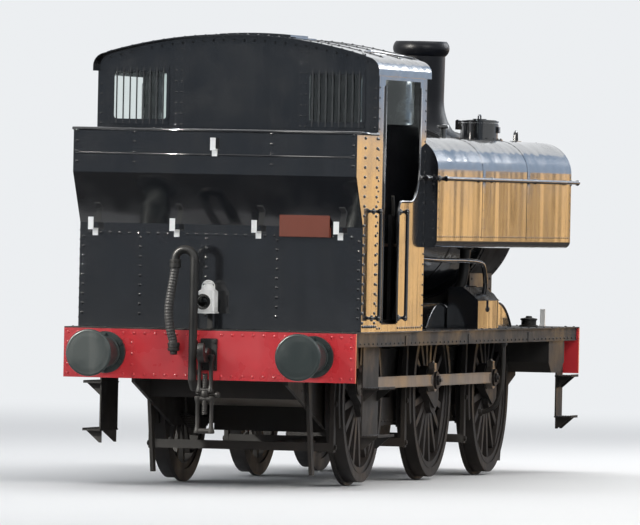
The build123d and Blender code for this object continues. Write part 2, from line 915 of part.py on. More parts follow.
# Smokebox: a plain drum, closed in front by a ring plate with the bore for its door
smokebox_door_bore = 545
throat_radius = 165
drum_rear_x = smokebox_rear_x + smokebox_plate
drum_front_x = smokebox_front_x - smokebox_plate
with BuildPart() as smokebox:
    with BuildSketch(Plane.YZ.offset(drum_rear_x)):
        with Locations((0, boiler_z)):
            Circle(smokebox_radius)
            Circle(smokebox_radius - smokebox_wall, mode=Mode.SUBTRACT)
    extrude(amount=drum_front_x - drum_rear_x)
    with BuildSketch(Plane.XY.offset(boiler_z)):
        with Locations((chimney_x, 0)):
            Circle(throat_radius)
    extrude(amount=2 * smokebox_radius, mode=Mode.SUBTRACT)
smokebox.part.label = "smokebox"
export_step(smokebox.part, "parts/smokebox.step")

with BuildPart() as smokebox_front:
    with BuildSketch(Plane.YZ.offset(drum_front_x)):
        with Locations((0, boiler_z)):
            Circle(smokebox_radius)
            Circle(smokebox_door_bore, mode=Mode.SUBTRACT)
    extrude(amount=smokebox_plate)
smokebox_front.part.label = "smokebox_front"
export_step(smokebox_front.part, "parts/smokebox_front.step")

# Smokebox saddle on the running plate
saddle_half = 560
saddle_rear_x = 2700
saddle_front_x = 3560
saddle_top = 1800
with BuildPart() as smokebox_saddle:
    with Locations(((saddle_rear_x + saddle_front_x) / 2, 0, (plate_z + saddle_top) / 2)):
        Box(saddle_front_x - saddle_rear_x, 2 * saddle_half, saddle_top - plate_z)
    with BuildSketch(Plane.YZ.offset(saddle_rear_x)):
        with Locations((0, boiler_z)):
            Circle(smokebox_radius)
    extrude(amount=saddle_front_x - saddle_rear_x, mode=Mode.SUBTRACT)
smokebox_saddle.part.label = "smokebox_saddle"
export_step(smokebox_saddle.part, "parts/smokebox_saddle.step")

# Blast pipe, standing in the smokebox under the chimney
blast_radius = 95
blast_bore = 60
blast_height = 760
with BuildPart() as blast_pipe:
    with BuildSketch(Plane.XY.offset(boiler_z - smokebox_radius)):
        with Locations((chimney_x, 0)):
            Circle(blast_radius)
            Circle(blast_bore, mode=Mode.SUBTRACT)
    extrude(amount=blast_height)
    with Locations(Location((chimney_x, 0, boiler_z), (0, 90, 0))):
        Cylinder(smokebox_radius - smokebox_wall, 4 * blast_radius, mode=Mode.INTERSECT)
blast_pipe.part.label = "blast_pipe"
export_step(blast_pipe.part, "parts/blast_pipe.step")

# Chimney, turned: a flared skirt, a barrel that opens slightly upwards and a rounded cap
chimney_top_z = rail + chimney_top
skirt_radius = 355
skirt_low_rise = 640
skirt_rise = 680
flare_middle = (268, 775)
flare_high = (222, 890)
barrel_radius = 208
barrel_rise = 1010
barrel_top_radius = 212
cap_radius = 248
cap_depth = 130
lip_radius = 222
cap_cut_length = 1000
with BuildPart() as chimney:
    with BuildSketch(Plane.XZ):
        with BuildLine():
            skirt = Line(
                (chimney_x + skirt_radius, boiler_z + skirt_low_rise),
                (chimney_x + skirt_radius, boiler_z + skirt_rise),
            )
            flare = Spline(
                skirt @ 1,
                (chimney_x + flare_middle[0], boiler_z + flare_middle[1]),
                (chimney_x + flare_high[0], boiler_z + flare_high[1]),
                (chimney_x + barrel_radius, boiler_z + barrel_rise),
            )
            barrel = Line(flare @ 1, (chimney_x + barrel_top_radius, chimney_top_z - cap_depth))
            cap = ThreePointArc(
                barrel @ 1,
                (chimney_x + cap_radius, chimney_top_z - cap_depth / 2),
                (chimney_x + lip_radius, chimney_top_z),
            )
            Polyline(
                cap @ 1,
                (chimney_x, chimney_top_z),
                (chimney_x, boiler_z + skirt_low_rise),
                skirt @ 0,
            )
        make_face()
    revolve(axis=Axis((chimney_x, 0, 0), (0, 0, 1)))
    with Locations(Location((chimney_x, 0, boiler_z), (0, 90, 0))):
        Cylinder(smokebox_radius, cap_cut_length, mode=Mode.SUBTRACT)
    with Locations((chimney_x, 0, chimney_top_z)):
        Cylinder(throat_radius, 2 * (chimney_top_z - boiler_z), mode=Mode.SUBTRACT)
chimney.part.label = "chimney"
export_step(chimney.part, "parts/chimney.step")

# Dome: a flared skirt on the boiler, upright sides and a domed top
dome_x = 1346
dome_skirt_radius = 405
dome_low_rise = 560
dome_skirt_rise = 610
dome_flare = (350, 690)
dome_waist = (322, 790)
dome_side_rise = 1080
dome_shoulder = (246, 1262)
dome_rise = 1348
mount_cut_length = 1200
with BuildPart() as dome:
    with BuildSketch(Plane.XZ):
        with BuildLine():
            skirt = Line(
                (dome_x + dome_skirt_radius, boiler_z + dome_low_rise),
                (dome_x + dome_skirt_radius, boiler_z + dome_skirt_rise),
            )
            flare = Spline(
                skirt @ 1,
                (dome_x + dome_flare[0], boiler_z + dome_flare[1]),
                (dome_x + dome_waist[0], boiler_z + dome_waist[1]),
            )
            side_line = Line(flare @ 1, (dome_x + dome_waist[0], boiler_z + dome_side_rise))
            crown = Spline(
                side_line @ 1,
                (dome_x + dome_shoulder[0], boiler_z + dome_shoulder[1]),
                (dome_x, boiler_z + dome_rise),
                tangents=((0, 1), (-1, 0)),
            )
            Polyline(crown @ 1, (dome_x, boiler_z + dome_low_rise), skirt @ 0)
        make_face()
    revolve(axis=Axis((dome_x, 0, 0), (0, 0, 1)))
    with Locations(Location((dome_x, 0, boiler_z), (0, 90, 0))):
        Cylinder(boiler_radius, mount_cut_length, mode=Mode.SUBTRACT)
dome.part.label = "dome"
export_step(dome.part, "parts/dome.step")

# Safety valve bonnet: a trumpet shape that narrows to a rolled lip
bonnet_x = 146
bonnet_skirt_radius = 248
bonnet_low_rise = 640
bonnet_skirt_rise = 680
bonnet_flare = ((182, 775), (150, 865), (132, 980))
bonnet_neck = (122, 1078)
bonnet_lip_radius = 142
bonnet_mouth_radius = 112
bonnet_rise = 1135
with BuildPart() as safety_valve_bonnet:
    with BuildSketch(Plane.XZ):
        with BuildLine():
            skirt = Line(
                (bonnet_x + bonnet_skirt_radius, boiler_z + bonnet_low_rise),
                (bonnet_x + bonnet_skirt_radius, boiler_z + bonnet_skirt_rise),
            )
            flare = Spline(
                skirt @ 1,
                *[(bonnet_x + radius, boiler_z + rise) for radius, rise in bonnet_flare],
                (bonnet_x + bonnet_neck[0], boiler_z + bonnet_neck[1]),
            )
            lip = ThreePointArc(
                flare @ 1,
                (bonnet_x + bonnet_lip_radius, boiler_z + (bonnet_neck[1] + bonnet_rise) / 2),
                (bonnet_x + bonnet_mouth_radius, boiler_z + bonnet_rise),
            )
            Polyline(
                lip @ 1,
                (bonnet_x, boiler_z + bonnet_rise),
                (bonnet_x, boiler_z + bonnet_low_rise),
                skirt @ 0,
            )
        make_face()
    revolve(axis=Axis((bonnet_x, 0, 0), (0, 0, 1)))
    with Locations(Location((bonnet_x, 0, boiler_z), (0, 90, 0))):
        Cylinder(boiler_radius, mount_cut_length, mode=Mode.SUBTRACT)
safety_valve_bonnet.part.label = "safety_valve_bonnet"
export_step(safety_valve_bonnet.part, "parts/safety_valve_bonnet.step")

# Pannier tanks, bored for the fillers, with saddles that carry them off the boiler
tank_half = tank_width / 2
tank_bottom_z = rail + tank_bottom
tank_top_z = rail + tank_top
tank_front_x = 3396
tank_base_corner = 60
saddle_stations = (200, 1200, 2200)
filler_x = 1696
filler_y = 850
filler_bore = 140
filler_wall = 22
filler_rise = 150
tank_cut_length = 9000
firebox_clear_low = boiler_z - 400
firebox_clear_high = boiler_z + 1200
with BuildPart() as tanks:
    with BuildSketch(Plane.YZ.offset(cab_front_x)) as tank_section:
        with BuildLine():
            Polyline(
                (tank_inner_edge, tank_bottom_z),
                (tank_half, tank_bottom_z),
                (tank_half, tank_top_z),
                (tank_inner_edge, tank_top_z),
                close=True,
            )
        make_face()
        fillet(
            tank_section.vertices().sort_by_distance((tank_half, tank_top_z))[0], tank_corner
        )
        fillet(
            tank_section.vertices().sort_by_distance((tank_half, tank_bottom_z))[0],
            tank_base_corner,
        )
    extrude(amount=tank_front_x - cab_front_x)
    with Locations(Location((0, 0, boiler_z), (0, 90, 0))):
        Cylinder(smokebox_radius + tank_boiler_gap, tank_cut_length, mode=Mode.SUBTRACT)
    firebox_clear_x = throat_x + tank_boiler_gap
    with Locations(
        ((cab_front_x + firebox_clear_x) / 2, 0, (firebox_clear_low + firebox_clear_high) / 2)
    ):
        Box(
            firebox_clear_x - cab_front_x,
            firebox_width + 2 * tank_boiler_gap,
            firebox_clear_high - firebox_clear_low,
            mode=Mode.SUBTRACT,
        )
    mirror(about=Plane.XZ)
tanks.part.label = "tanks"
export_step(tanks.part, "parts/tanks.step")

# Tank brackets between the boiler cladding and the tanks
bracket_width = 90
bracket_high = 300
bracket_low = 250
bracket_cut = 4000
with BuildPart() as tank_brackets:
    for station in saddle_stations:
        with BuildSketch(Plane.YZ.offset(station)):
            with Locations((0, boiler_z)):
                Circle(smokebox_radius + tank_boiler_gap)
                Circle(boiler_radius, mode=Mode.SUBTRACT)
            with Locations((0, boiler_z + bracket_high + bracket_cut / 2)):
                Rectangle(bracket_cut, bracket_cut, mode=Mode.SUBTRACT)
            with Locations((0, boiler_z - bracket_low - bracket_cut / 2)):
                Rectangle(bracket_cut, bracket_cut, mode=Mode.SUBTRACT)
        extrude(amount=bracket_width / 2, both=True)
tank_brackets.part.label = "tank_brackets"
export_step(tank_brackets.part, "parts/tank_brackets.step")

# Filler necks on the tank tops, each with two lugs and a pin for its lid
filler_radius = filler_bore + filler_wall
filler_top_z = tank_top_z + filler_rise
lid_pin_y = filler_y - filler_radius - 26
lid_pin_z = filler_top_z + 10
lug_clear = 8
lid_pin_radius = 7
lid_lug_radius = 14
lid_lug_thickness = 16
lid_lug_spread = 42
lid_lug_drop = 60
lid_lug_root = filler_y - filler_radius + 10
with BuildPart() as filler_necks:
    for side in (1, -1):
        with BuildSketch(Plane.XY.offset(tank_top_z)):
            with Locations((filler_x, side * filler_y)):
                Circle(filler_radius)
                Circle(filler_bore, mode=Mode.SUBTRACT)
        extrude(amount=filler_rise)
        for lug_x in (filler_x - lid_lug_spread, filler_x + lid_lug_spread):
            with BuildSketch(Plane.YZ.offset(lug_x)):
                with BuildLine():
                    Polyline(
                        (side * (lid_pin_y - lid_lug_radius), lid_pin_z),
                        (side * (lid_pin_y - lid_lug_radius), filler_top_z - lid_lug_drop),
                        (side * lid_lug_root, filler_top_z - lid_lug_drop),
                        (side * lid_lug_root, filler_top_z - lug_clear),
                        (side * (lid_pin_y + lid_lug_radius), filler_top_z - lug_clear),
                        (side * (lid_pin_y + lid_lug_radius), lid_pin_z),
                        close=True,
                    )
                make_face()
                with Locations((side * lid_pin_y, lid_pin_z)):
                    Circle(lid_lug_radius)
            extrude(amount=lid_lug_thickness / 2, both=True)
        with Locations(Location((filler_x, side * lid_pin_y, lid_pin_z), (0, 90, 0))):
            Cylinder(lid_pin_radius, 2 * lid_lug_spread + lid_lug_thickness)
filler_necks.part.label = "filler_necks"
export_step(filler_necks.part, "parts/filler_necks.step")

# Filler lids, hinged on their inner edges
lid_gap = 2
lid_lip = 6
lid_thickness = 16
lid_crown_radius = 60
lid_crown_rise = 34
lid_strap = 52
lid_barrel_radius = 16
for name, side in (("filler_lid_left", 1), ("filler_lid_right", -1)):
    with BuildPart() as filler_lid:
        for radius, height in (
            (filler_radius + lid_lip, lid_thickness),
            (lid_crown_radius, lid_crown_rise),
        ):
            with BuildSketch(Plane.XY.offset(filler_top_z + lid_gap)):
                with Locations((filler_x, side * filler_y)):
                    Circle(radius)
            extrude(amount=height)
        with BuildSketch(Plane.XY.offset(filler_top_z + lid_gap)):
            with Locations((filler_x, side * (lid_pin_y + filler_y - filler_bore) / 2)):
                Rectangle(lid_strap, filler_y - filler_bore - lid_pin_y)
        extrude(amount=lid_thickness)
        with Locations(Location((filler_x, side * lid_pin_y, lid_pin_z), (0, 90, 0))):
            Cylinder(lid_barrel_radius, lid_strap)
            Cylinder(lid_pin_radius + running_gap, 2 * lid_strap, mode=Mode.SUBTRACT)
    filler_lid.part.label = name
    export_step(filler_lid.part, f"parts/{name}.step")

# Smokebox door: a dished disc on two straps, hinged at the engine's right
door_radius = 590
door_gap = 3
door_hinge_x = smokebox_front_x + 44
door_hinge_y = -door_radius - 52
door_hinge_heights = (boiler_z - 210, boiler_z + 210)
hinge_pin_radius = 14
door_rim = 22
door_shoulder = (577, 42)
door_turn = (550, 52)
door_middle = (330, 102)
door_dish = 126
door_wall = 30
door_inner_rim = 530
door_inner_middle = (330, 68)
door_slope = 0.27
strap_thickness = 22
strap_height = 68
strap_line = (
    # reach from the door's face plane, distance across from the middle
    (20, 560),
    (76, 390),
    (96, 40),
)
hinge_barrel_wall = 14
hinge_leaf_half = 12
centre_boss_radius = 44
centre_boss_depth = 60
centre_boss_reach = 126
handle_reach = 165
handle_drops = (-40, 20)
handle_length = 260
handle_shift = 60
handle_depth = 16
handle_width = 22
handle_hub_radius = 26
handle_hub_length = 40
pin_bore_length = 90
door_face_x = smokebox_front_x + door_gap
with BuildPart() as smokebox_door:
    with BuildSketch(Plane.XY.offset(boiler_z)):
        with BuildLine():
            edge = Line((door_face_x, door_radius), (door_face_x + door_rim, door_radius))
            shoulder = ThreePointArc(
                edge @ 1,
                (door_face_x + door_shoulder[1], door_shoulder[0]),
                (door_face_x + door_turn[1], door_turn[0]),
            )
            dish = Spline(
                shoulder @ 1,
                (door_face_x + door_middle[1], door_middle[0]),
                (door_face_x + door_dish, 0),
                tangents=((door_slope, -1), (0, -1)),
            )
            wall = Line(dish @ 1, (door_face_x + door_dish - door_wall, 0))
            inside = Spline(
                wall @ 1,
                (door_face_x + door_inner_middle[1], door_inner_middle[0]),
                (door_face_x + door_rim, door_inner_rim),
                tangents=((0, 1), (-door_slope, 1)),
            )
            Polyline(inside @ 1, (door_face_x, door_inner_rim), edge @ 0)
        make_face()
    revolve(axis=Axis((0, 0, boiler_z), (1, 0, 0)))
    for height in door_hinge_heights:
        with BuildSketch(Plane.XY.offset(height)):
            with BuildLine():
                Polyline(
                    (door_hinge_x - hinge_leaf_half, door_hinge_y),
                    *[(door_face_x + reach, -across_y) for reach, across_y in strap_line],
                    *[
                        (door_face_x + reach + strap_thickness, -across_y)
                        for reach, across_y in reversed(strap_line)
                    ],
                    (door_hinge_x + hinge_leaf_half, door_hinge_y),
                    close=True,
                )
            make_face()
        extrude(amount=strap_height / 2, both=True)
        with Locations((door_hinge_x, door_hinge_y, height)):
            Cylinder(hinge_pin_radius + hinge_barrel_wall, strap_height)
    with Locations(Location((door_face_x + centre_boss_reach, 0, boiler_z), (0, 90, 0))):
        Cylinder(centre_boss_radius, centre_boss_depth)
    for drop in handle_drops:
        with Locations((door_face_x + handle_reach, handle_shift, boiler_z + drop)):
            Box(handle_depth, handle_length, handle_width)
        with Locations(Location((door_face_x + handle_reach, 0, boiler_z + drop), (0, 90, 0))):
            Cylinder(handle_hub_radius, handle_hub_length)
    for height in door_hinge_heights:
        with Locations((door_hinge_x, door_hinge_y, height)):
            Cylinder(hinge_pin_radius + running_gap, pin_bore_length, mode=Mode.SUBTRACT)
smokebox_door.part.label = "smokebox_door"
export_step(smokebox_door.part, "parts/smokebox_door.step")

# Door hinge brackets, with the pin, on the smokebox front
hinge_lug_spread = 50
hinge_lug_width = 56
hinge_lug_thickness = 22
hinge_lug_lip = 16
hinge_pin_length = 560
with BuildPart() as smokebox_hinge:
    for height in door_hinge_heights:
        for place in (height - hinge_lug_spread, height + hinge_lug_spread):
            with Locations(
                ((smokebox_front_x + door_hinge_x + hinge_lug_lip) / 2, door_hinge_y, place)
            ):
                Box(
                    door_hinge_x + hinge_lug_lip - smokebox_front_x,
                    hinge_lug_width,
                    hinge_lug_thickness,
                )
    with Locations((door_hinge_x, door_hinge_y, boiler_z)):
        Cylinder(hinge_pin_radius, hinge_pin_length)
smokebox_hinge.part.label = "smokebox_hinge"
export_step(smokebox_hinge.part, "parts/smokebox_hinge.step")

# Cab roof: a flat arch with tighter corners, over a narrow ledge at the eaves
roof_half = 1205
roof_thickness = 6
crown_radius = 3840
corner_radius = 110
apex_z = rail + roof_apex
crown_centre = apex_z - crown_radius
corner_y = roof_half - corner_radius
crown_turn = degrees(asin(corner_y / (crown_radius - corner_radius)))
corner_z = crown_centre + (crown_radius - corner_radius) * cos(radians(crown_turn))
roof_skirt = 40
ledge_thickness = 8
floor_depth = 60
roof_low = corner_z - roof_skirt
cab_floor_z = plate_z + floor_depth


def roof_line(inset):
    """The closed outline under the roof curve, drawn inset from its outer face."""
    crown = CenterArc(
        (0, crown_centre), crown_radius - inset, 90 - crown_turn, 2 * crown_turn
    )
    right = CenterArc((corner_y, corner_z), corner_radius - inset, 0, 90 - crown_turn)
    left = CenterArc(
        (-corner_y, corner_z), corner_radius - inset, 90 + crown_turn, 90 - crown_turn
    )
    Line(right @ 0, (roof_half - inset, roof_low))
    Line((roof_half - inset, roof_low), (-roof_half + inset, roof_low))
    Line((-roof_half + inset, roof_low), left @ 1)


with BuildPart() as cab_roof:
    with BuildSketch(Plane.YZ.offset(roof_back_x)):
        with BuildLine():
            roof_line(0)
        make_face()
        with BuildLine():
            roof_line(roof_thickness)
        make_face(mode=Mode.SUBTRACT)
    extrude(amount=roof_front_x - roof_back_x)
    for side in (1, -1):
        with Locations(
            ((roof_back_x + roof_front_x) / 2, side * (cab_in + roof_half) / 2, roof_low + ledge_thickness / 2)
        ):
            Box(roof_front_x - roof_back_x, roof_half - cab_in, ledge_thickness)
cab_roof.part.label = "cab_roof"
export_step(cab_roof.part, "parts/cab_roof.step")

# Cab sides, with the doorway and the open upper part
door_back_x = -3204
door_front_x = -2674
opening_front_x = -1960
waist_z = rail + 2325
opening_drop = 30
opening_top_z = roof_low - opening_drop
waist_radius = 300
door_corner = 90
with BuildPart() as cab_sides:
    with BuildSketch(across(cab_out)):
        with BuildLine():
            Polyline(
                (cab_back_x, plate_z),
                (cab_front_x, plate_z),
                (cab_front_x, roof_low),
                (cab_back_x, roof_low),
                close=True,
            )
        make_face()
        with BuildLine():
            doorway = Polyline(
                (opening_front_x, waist_z + waist_radius),
                (opening_front_x, opening_top_z),
                (door_back_x, opening_top_z),
                (door_back_x, cab_floor_z),
                (door_front_x, cab_floor_z),
                (door_front_x, waist_z - door_corner),
            )
            corner = RadiusArc(doorway @ 1, (door_front_x + door_corner, waist_z), door_corner)
            waist = Line(corner @ 1, (opening_front_x - waist_radius, waist_z))
            RadiusArc(waist @ 1, doorway @ 0, -waist_radius)
        make_face(mode=Mode.SUBTRACT)
    extrude(amount=sheet)
    mirror(about=Plane.XZ)
cab_sides.part.label = "cab_sides"
export_step(cab_sides.part, "parts/cab_sides.step")

# Cab front and back, each with two windows
window_corner = 30
front_windows = (620, 1080, rail + 2960, rail + 3360)
rear_windows = (600, 1050, rail + 2955, rail + 3355)


def window_pair(inner, outer, low, high, mode):
    """Two windows in the present sketch, one each side of the middle."""
    with Locations((-(inner + outer) / 2, (low + high) / 2), ((inner + outer) / 2, (low + high) / 2)):
        RectangleRounded(outer - inner, high - low, window_corner, mode=mode)


with BuildPart() as cab_front:
    with BuildSketch(Plane.YZ.offset(cab_front_x - sheet)):
        with BuildLine():
            roof_line(roof_thickness)
        make_face()
        with Locations((0, (plate_z + roof_low) / 2)):
            Rectangle(2 * cab_in, roof_low - plate_z)
        for side in (1, -1):
            with Locations((side * (cab_in + roof_half) / 2, roof_low)):
                Rectangle(roof_half - cab_in, 2 * ledge_thickness, mode=Mode.SUBTRACT)
        window_pair(*front_windows, Mode.SUBTRACT)
    extrude(amount=sheet)
    with BuildSketch(Plane.YZ.offset(backhead_x)) as firebox_hole:
        with BuildLine():
            Polyline(*firebox_outline, close=True)
        make_face()
        fillet(firebox_hole.vertices().sort_by(Axis.Y)[-2:], firebox_corner)
    extrude(amount=throat_x - backhead_x, mode=Mode.SUBTRACT)
cab_front.part.label = "cab_front"
export_step(cab_front.part, "parts/cab_front.step")

with BuildPart() as cab_back:
    with BuildSketch(Plane.YZ.offset(cab_back_x)):
        with BuildLine():
            roof_line(roof_thickness)
        make_face()
        with Locations((0, (plate_z + roof_low) / 2)):
            Rectangle(2 * cab_in, roof_low - plate_z)
        for side in (1, -1):
            with Locations((side * (cab_in + roof_half) / 2, roof_low)):
                Rectangle(roof_half - cab_in, 2 * ledge_thickness, mode=Mode.SUBTRACT)
        window_pair(*rear_windows, Mode.SUBTRACT)
    extrude(amount=sheet)
cab_back.part.label = "cab_back"
export_step(cab_back.part, "parts/cab_back.step")

# Window glass, let into the sheets
glass_inset = 1
with BuildPart() as window_glass:
    for pane_x, windows in (
        (cab_front_x - sheet + glass_inset, front_windows),
        (cab_back_x + glass_inset, rear_windows),
    ):
        with BuildSketch(Plane.YZ.offset(pane_x)):
            window_pair(*windows, Mode.ADD)
        extrude(amount=sheet - 2 * glass_inset)
window_glass.part.label = "window_glass"
export_step(window_glass.part, "parts/window_glass.step")

# Rear window guards: upright bars on two cross strips
guard_bars = 8
guard_stand = 14
guard_bar_radius = 6
guard_strip_height = 24
guard_strip_over = 30
guard_low_gap = 25
guard_high_gap = 18
guard_bar_over = 60
guard_bar_drop = 4
with BuildPart() as rear_window_guards:
    inner, outer, low, high = rear_windows
    for side in (1, -1):
        for strip_z in (low - guard_low_gap, high + guard_high_gap):
            with Locations(
                (cab_back_x - guard_stand / 2, side * (inner + outer) / 2, strip_z)
            ):
                Box(guard_stand, outer - inner + guard_strip_over, guard_strip_height)
        for bar in range(guard_bars):
            bar_y = inner + (outer - inner) * (bar + 0.5) / guard_bars
            with Locations(
                (cab_back_x - guard_stand, side * bar_y, (low + high) / 2 - guard_bar_drop)
            ):
                Cylinder(guard_bar_radius, high - low + guard_bar_over)
rear_window_guards.part.label = "rear_window_guards"
export_step(rear_window_guards.part, "parts/rear_window_guards.step")

# Cab floor: boards laid round the firebox and the trailing splashers
floor_firebox_gap = 20
floor_splasher_gap = 30
floor_splasher_side_gap = 4
floor_cut_depth = 300
with BuildPart() as cab_floor:
    with Locations(
        ((cab_back_x + sheet + cab_front_x - sheet) / 2, 0, (plate_z + cab_floor_z) / 2)
    ):
        Box(cab_front_x - cab_back_x - 2 * sheet, 2 * cab_in, cab_floor_z - plate_z)
    with Locations(((backhead_x + cab_front_x) / 2, 0, cab_floor_z)):
        Box(
            cab_front_x - backhead_x + floor_firebox_gap,
            2 * frame_out,
            floor_cut_depth,
            mode=Mode.SUBTRACT,
        )
    for side in (1, -1):
        with Locations((trailing_x, side * (splasher_in + splasher_out) / 2, cab_floor_z)):
            Box(
                2 * (slot_half + floor_splasher_gap),
                splasher_out - splasher_in + 2 * (splasher_wall + floor_splasher_side_gap),
                floor_cut_depth,
                mode=Mode.SUBTRACT,
            )
cab_floor.part.label = "cab_floor"
export_step(cab_floor.part, "parts/cab_floor.step")

# Cab doors, low and hinged at the rear post, with the hinge pins on the cab sides
door_below_waist = 160
door_above_floor = 35
hinge_from_post = 22
hinge_from_side = 26
hinge_from_end = 130
cab_door_top = waist_z - door_below_waist
cab_door_low = cab_floor_z + door_above_floor
cab_door_thickness = 20
cab_hinge_x = door_back_x + hinge_from_post
cab_hinge_y = cab_in - hinge_from_side
cab_hinge_heights = (cab_door_low + hinge_from_end, cab_door_top - hinge_from_end)
cab_pin_radius = 8
cab_door_length = door_front_x - cab_hinge_x + hinge_from_post
hinge_foot_reach = 40
hinge_foot_depth = 34
hinge_foot_drop = 38
hinge_foot_thickness = 16
hinge_pin_height = 74
hinge_wall = 9
hinge_knuckle = 50
hinge_arm_thickness = 14
hinge_arm_length = 36
with BuildPart() as cab_door_hinges:
    for side in (1, -1):
        for height in cab_hinge_heights:
            with Locations(
                (
                    (cab_hinge_x + door_back_x - hinge_foot_reach) / 2,
                    side * (cab_in - hinge_foot_depth / 2),
                    height - hinge_foot_drop,
                )
            ):
                Box(
                    cab_hinge_x - door_back_x + hinge_foot_reach + hinge_from_post,
                    hinge_foot_depth,
                    hinge_foot_thickness,
                )
            with Locations((cab_hinge_x, side * cab_hinge_y, height)):
                Cylinder(cab_pin_radius, hinge_pin_height)
cab_door_hinges.part.label = "cab_door_hinges"
export_step(cab_door_hinges.part, "parts/cab_door_hinges.step")

for name, side in (("cab_door_left", 1), ("cab_door_right", -1)):
    with BuildPart() as cab_door:
        with Locations(
            (
                cab_hinge_x,
                side * (cab_hinge_y - hinge_from_side - cab_door_length / 2),
                (cab_door_low + cab_door_top) / 2,
            )
        ):
            Box(cab_door_thickness, cab_door_length, cab_door_top - cab_door_low)
        for height in cab_hinge_heights:
            with Locations((cab_hinge_x, side * (cab_hinge_y - hinge_arm_length / 2), height)):
                Box(hinge_arm_thickness, hinge_arm_length, hinge_knuckle)
            with Locations((cab_hinge_x, side * cab_hinge_y, height)):
                Cylinder(cab_pin_radius + hinge_wall, hinge_knuckle)
                Cylinder(cab_pin_radius + running_gap, 2 * hinge_knuckle, mode=Mode.SUBTRACT)
    cab_door.part.label = name
    export_step(cab_door.part, f"parts/{name}.step")

# Bunker: sheets round an open space, leaning out to the rear
bunker_floor = plate_z
bunker_top_z = rail + bunker_top
bunker_lean_low = rail + 2106
bunker_lean_high = rail + 2516
bunker_over = 100
lean_shift = 3
bunker_side_line = (
    (cab_back_x, bunker_floor),
    (cab_back_x, bunker_top_z),
    (bunker_top_back_x, bunker_top_z),
    (bunker_top_back_x, bunker_lean_high),
    (bunker_back_x, bunker_lean_low),
    (bunker_back_x, bunker_floor),
)
with BuildPart() as bunker:
    with BuildSketch(across(0)):
        with BuildLine():
            Polyline(*bunker_side_line, close=True)
        make_face()
    extrude(amount=cab_out, both=True)
    with BuildSketch(across(0)):
        with BuildLine():
            Polyline(
                (cab_back_x, bunker_floor + sheet),
                (cab_back_x, bunker_top_z + bunker_over),
                (bunker_top_back_x + sheet, bunker_top_z + bunker_over),
                (bunker_top_back_x + sheet, bunker_lean_high + lean_shift),
                (bunker_back_x + sheet, bunker_lean_low + lean_shift),
                (bunker_back_x + sheet, bunker_floor + sheet),
                close=True,
            )
        make_face()
    extrude(amount=cab_in, both=True, mode=Mode.SUBTRACT)
bunker.part.label = "bunker"
export_step(bunker.part, "parts/bunker.step")

# Lamp irons: on the bunker, on the running plate in front and over the smokebox door
iron_width = 44
iron_thickness = 12
rear_irons = (
    # place across, height of the foot, panel the iron stands on, reach from the panel
    (-1000, 2040, bunker_back_x, 150),
    (-315, 2040, bunker_back_x, 150),
    (370, 2040, bunker_back_x, 150),
    (1055, 2040, bunker_back_x, 150),
    (0, 2700, bunker_top_back_x, 60),
)
front_irons = (-900, 0, 900)
front_iron_x = front_face_x - 80
front_iron_height = 150
top_iron_x = smokebox_front_x - 60
top_iron_height = 160
top_iron_sink = 6
top_iron_foot = 18
iron_foot_length = 60
iron_tail = 40
iron_shelf = 20
iron_blade = 110
standing = (Align.CENTER, Align.CENTER, Align.MIN)
with BuildPart() as lamp_irons:
    for iron_y, foot, panel_x, reach in rear_irons:
        with BuildSketch(across(iron_y)):
            with BuildLine():
                Polyline(
                    (panel_x, rail + foot - iron_tail),
                    (panel_x, rail + foot + iron_shelf),
                    (panel_x - reach, rail + foot + iron_shelf),
                    (panel_x - reach, rail + foot + iron_blade),
                    (panel_x - reach - iron_thickness, rail + foot + iron_blade),
                    (panel_x - reach - iron_thickness, rail + foot + iron_shelf - iron_thickness),
                    (panel_x - iron_thickness, rail + foot + iron_shelf - iron_thickness),
                    (panel_x - iron_thickness, rail + foot - iron_tail),
                    close=True,
                )
            make_face()
        extrude(amount=iron_width / 2, both=True)
    for iron_y in front_irons:
        with Locations((front_iron_x, iron_y, plate_z)):
            Box(iron_foot_length, iron_width, iron_thickness, align=standing)
            Box(iron_thickness, iron_width, front_iron_height, align=standing)
    with Locations((top_iron_x, 0, boiler_z + smokebox_radius - top_iron_sink)):
        Box(iron_foot_length, iron_width, top_iron_foot, align=standing)
        Box(iron_thickness, iron_width, top_iron_height, align=standing)
    with Locations(Location((top_iron_x, 0, boiler_z), (0, 90, 0))):
        Cylinder(smokebox_radius, 3 * iron_foot_length, mode=Mode.SUBTRACT)
lamp_irons.part.label = "lamp_irons"
export_step(lamp_irons.part, "parts/lamp_irons.step")

# Tail lamp on its own iron, behind the bunker
lamp_x = -4080
lamp_y = 50
lamp_z = rail + 1385
lamp_length = 148
lamp_width = 160
lamp_height = 190
lamp_iron_reach = 80
lamp_iron_height = 230
lamp_cowl_radius = 62
lamp_cowl_height = 44
lamp_vent_radius = 40
lamp_vent_height = 70
lens_radius = 62
lens_depth = 40
lens_shift = 20
with BuildPart() as tail_lamp:
    with Locations((lamp_x + lamp_iron_reach, lamp_y, plate_z)):
        Box(iron_thickness, iron_width, lamp_iron_height, align=standing)
    with Locations((lamp_x, lamp_y, lamp_z)):
        Box(lamp_length, lamp_width, lamp_height, align=standing)
    with Locations((lamp_x, lamp_y, lamp_z + lamp_height)):
        Cylinder(lamp_cowl_radius, lamp_cowl_height, align=standing)
        Cylinder(lamp_vent_radius, lamp_vent_height, align=standing)
    with Locations(
        Location(
            (lamp_x - lamp_length / 2, lamp_y + lens_shift, lamp_z + lamp_height / 2),
            (0, 90, 0),
        )
    ):
        Cylinder(lens_radius, lens_depth)
tail_lamp.part.label = "tail_lamp"
export_step(tail_lamp.part, "parts/tail_lamp.step")

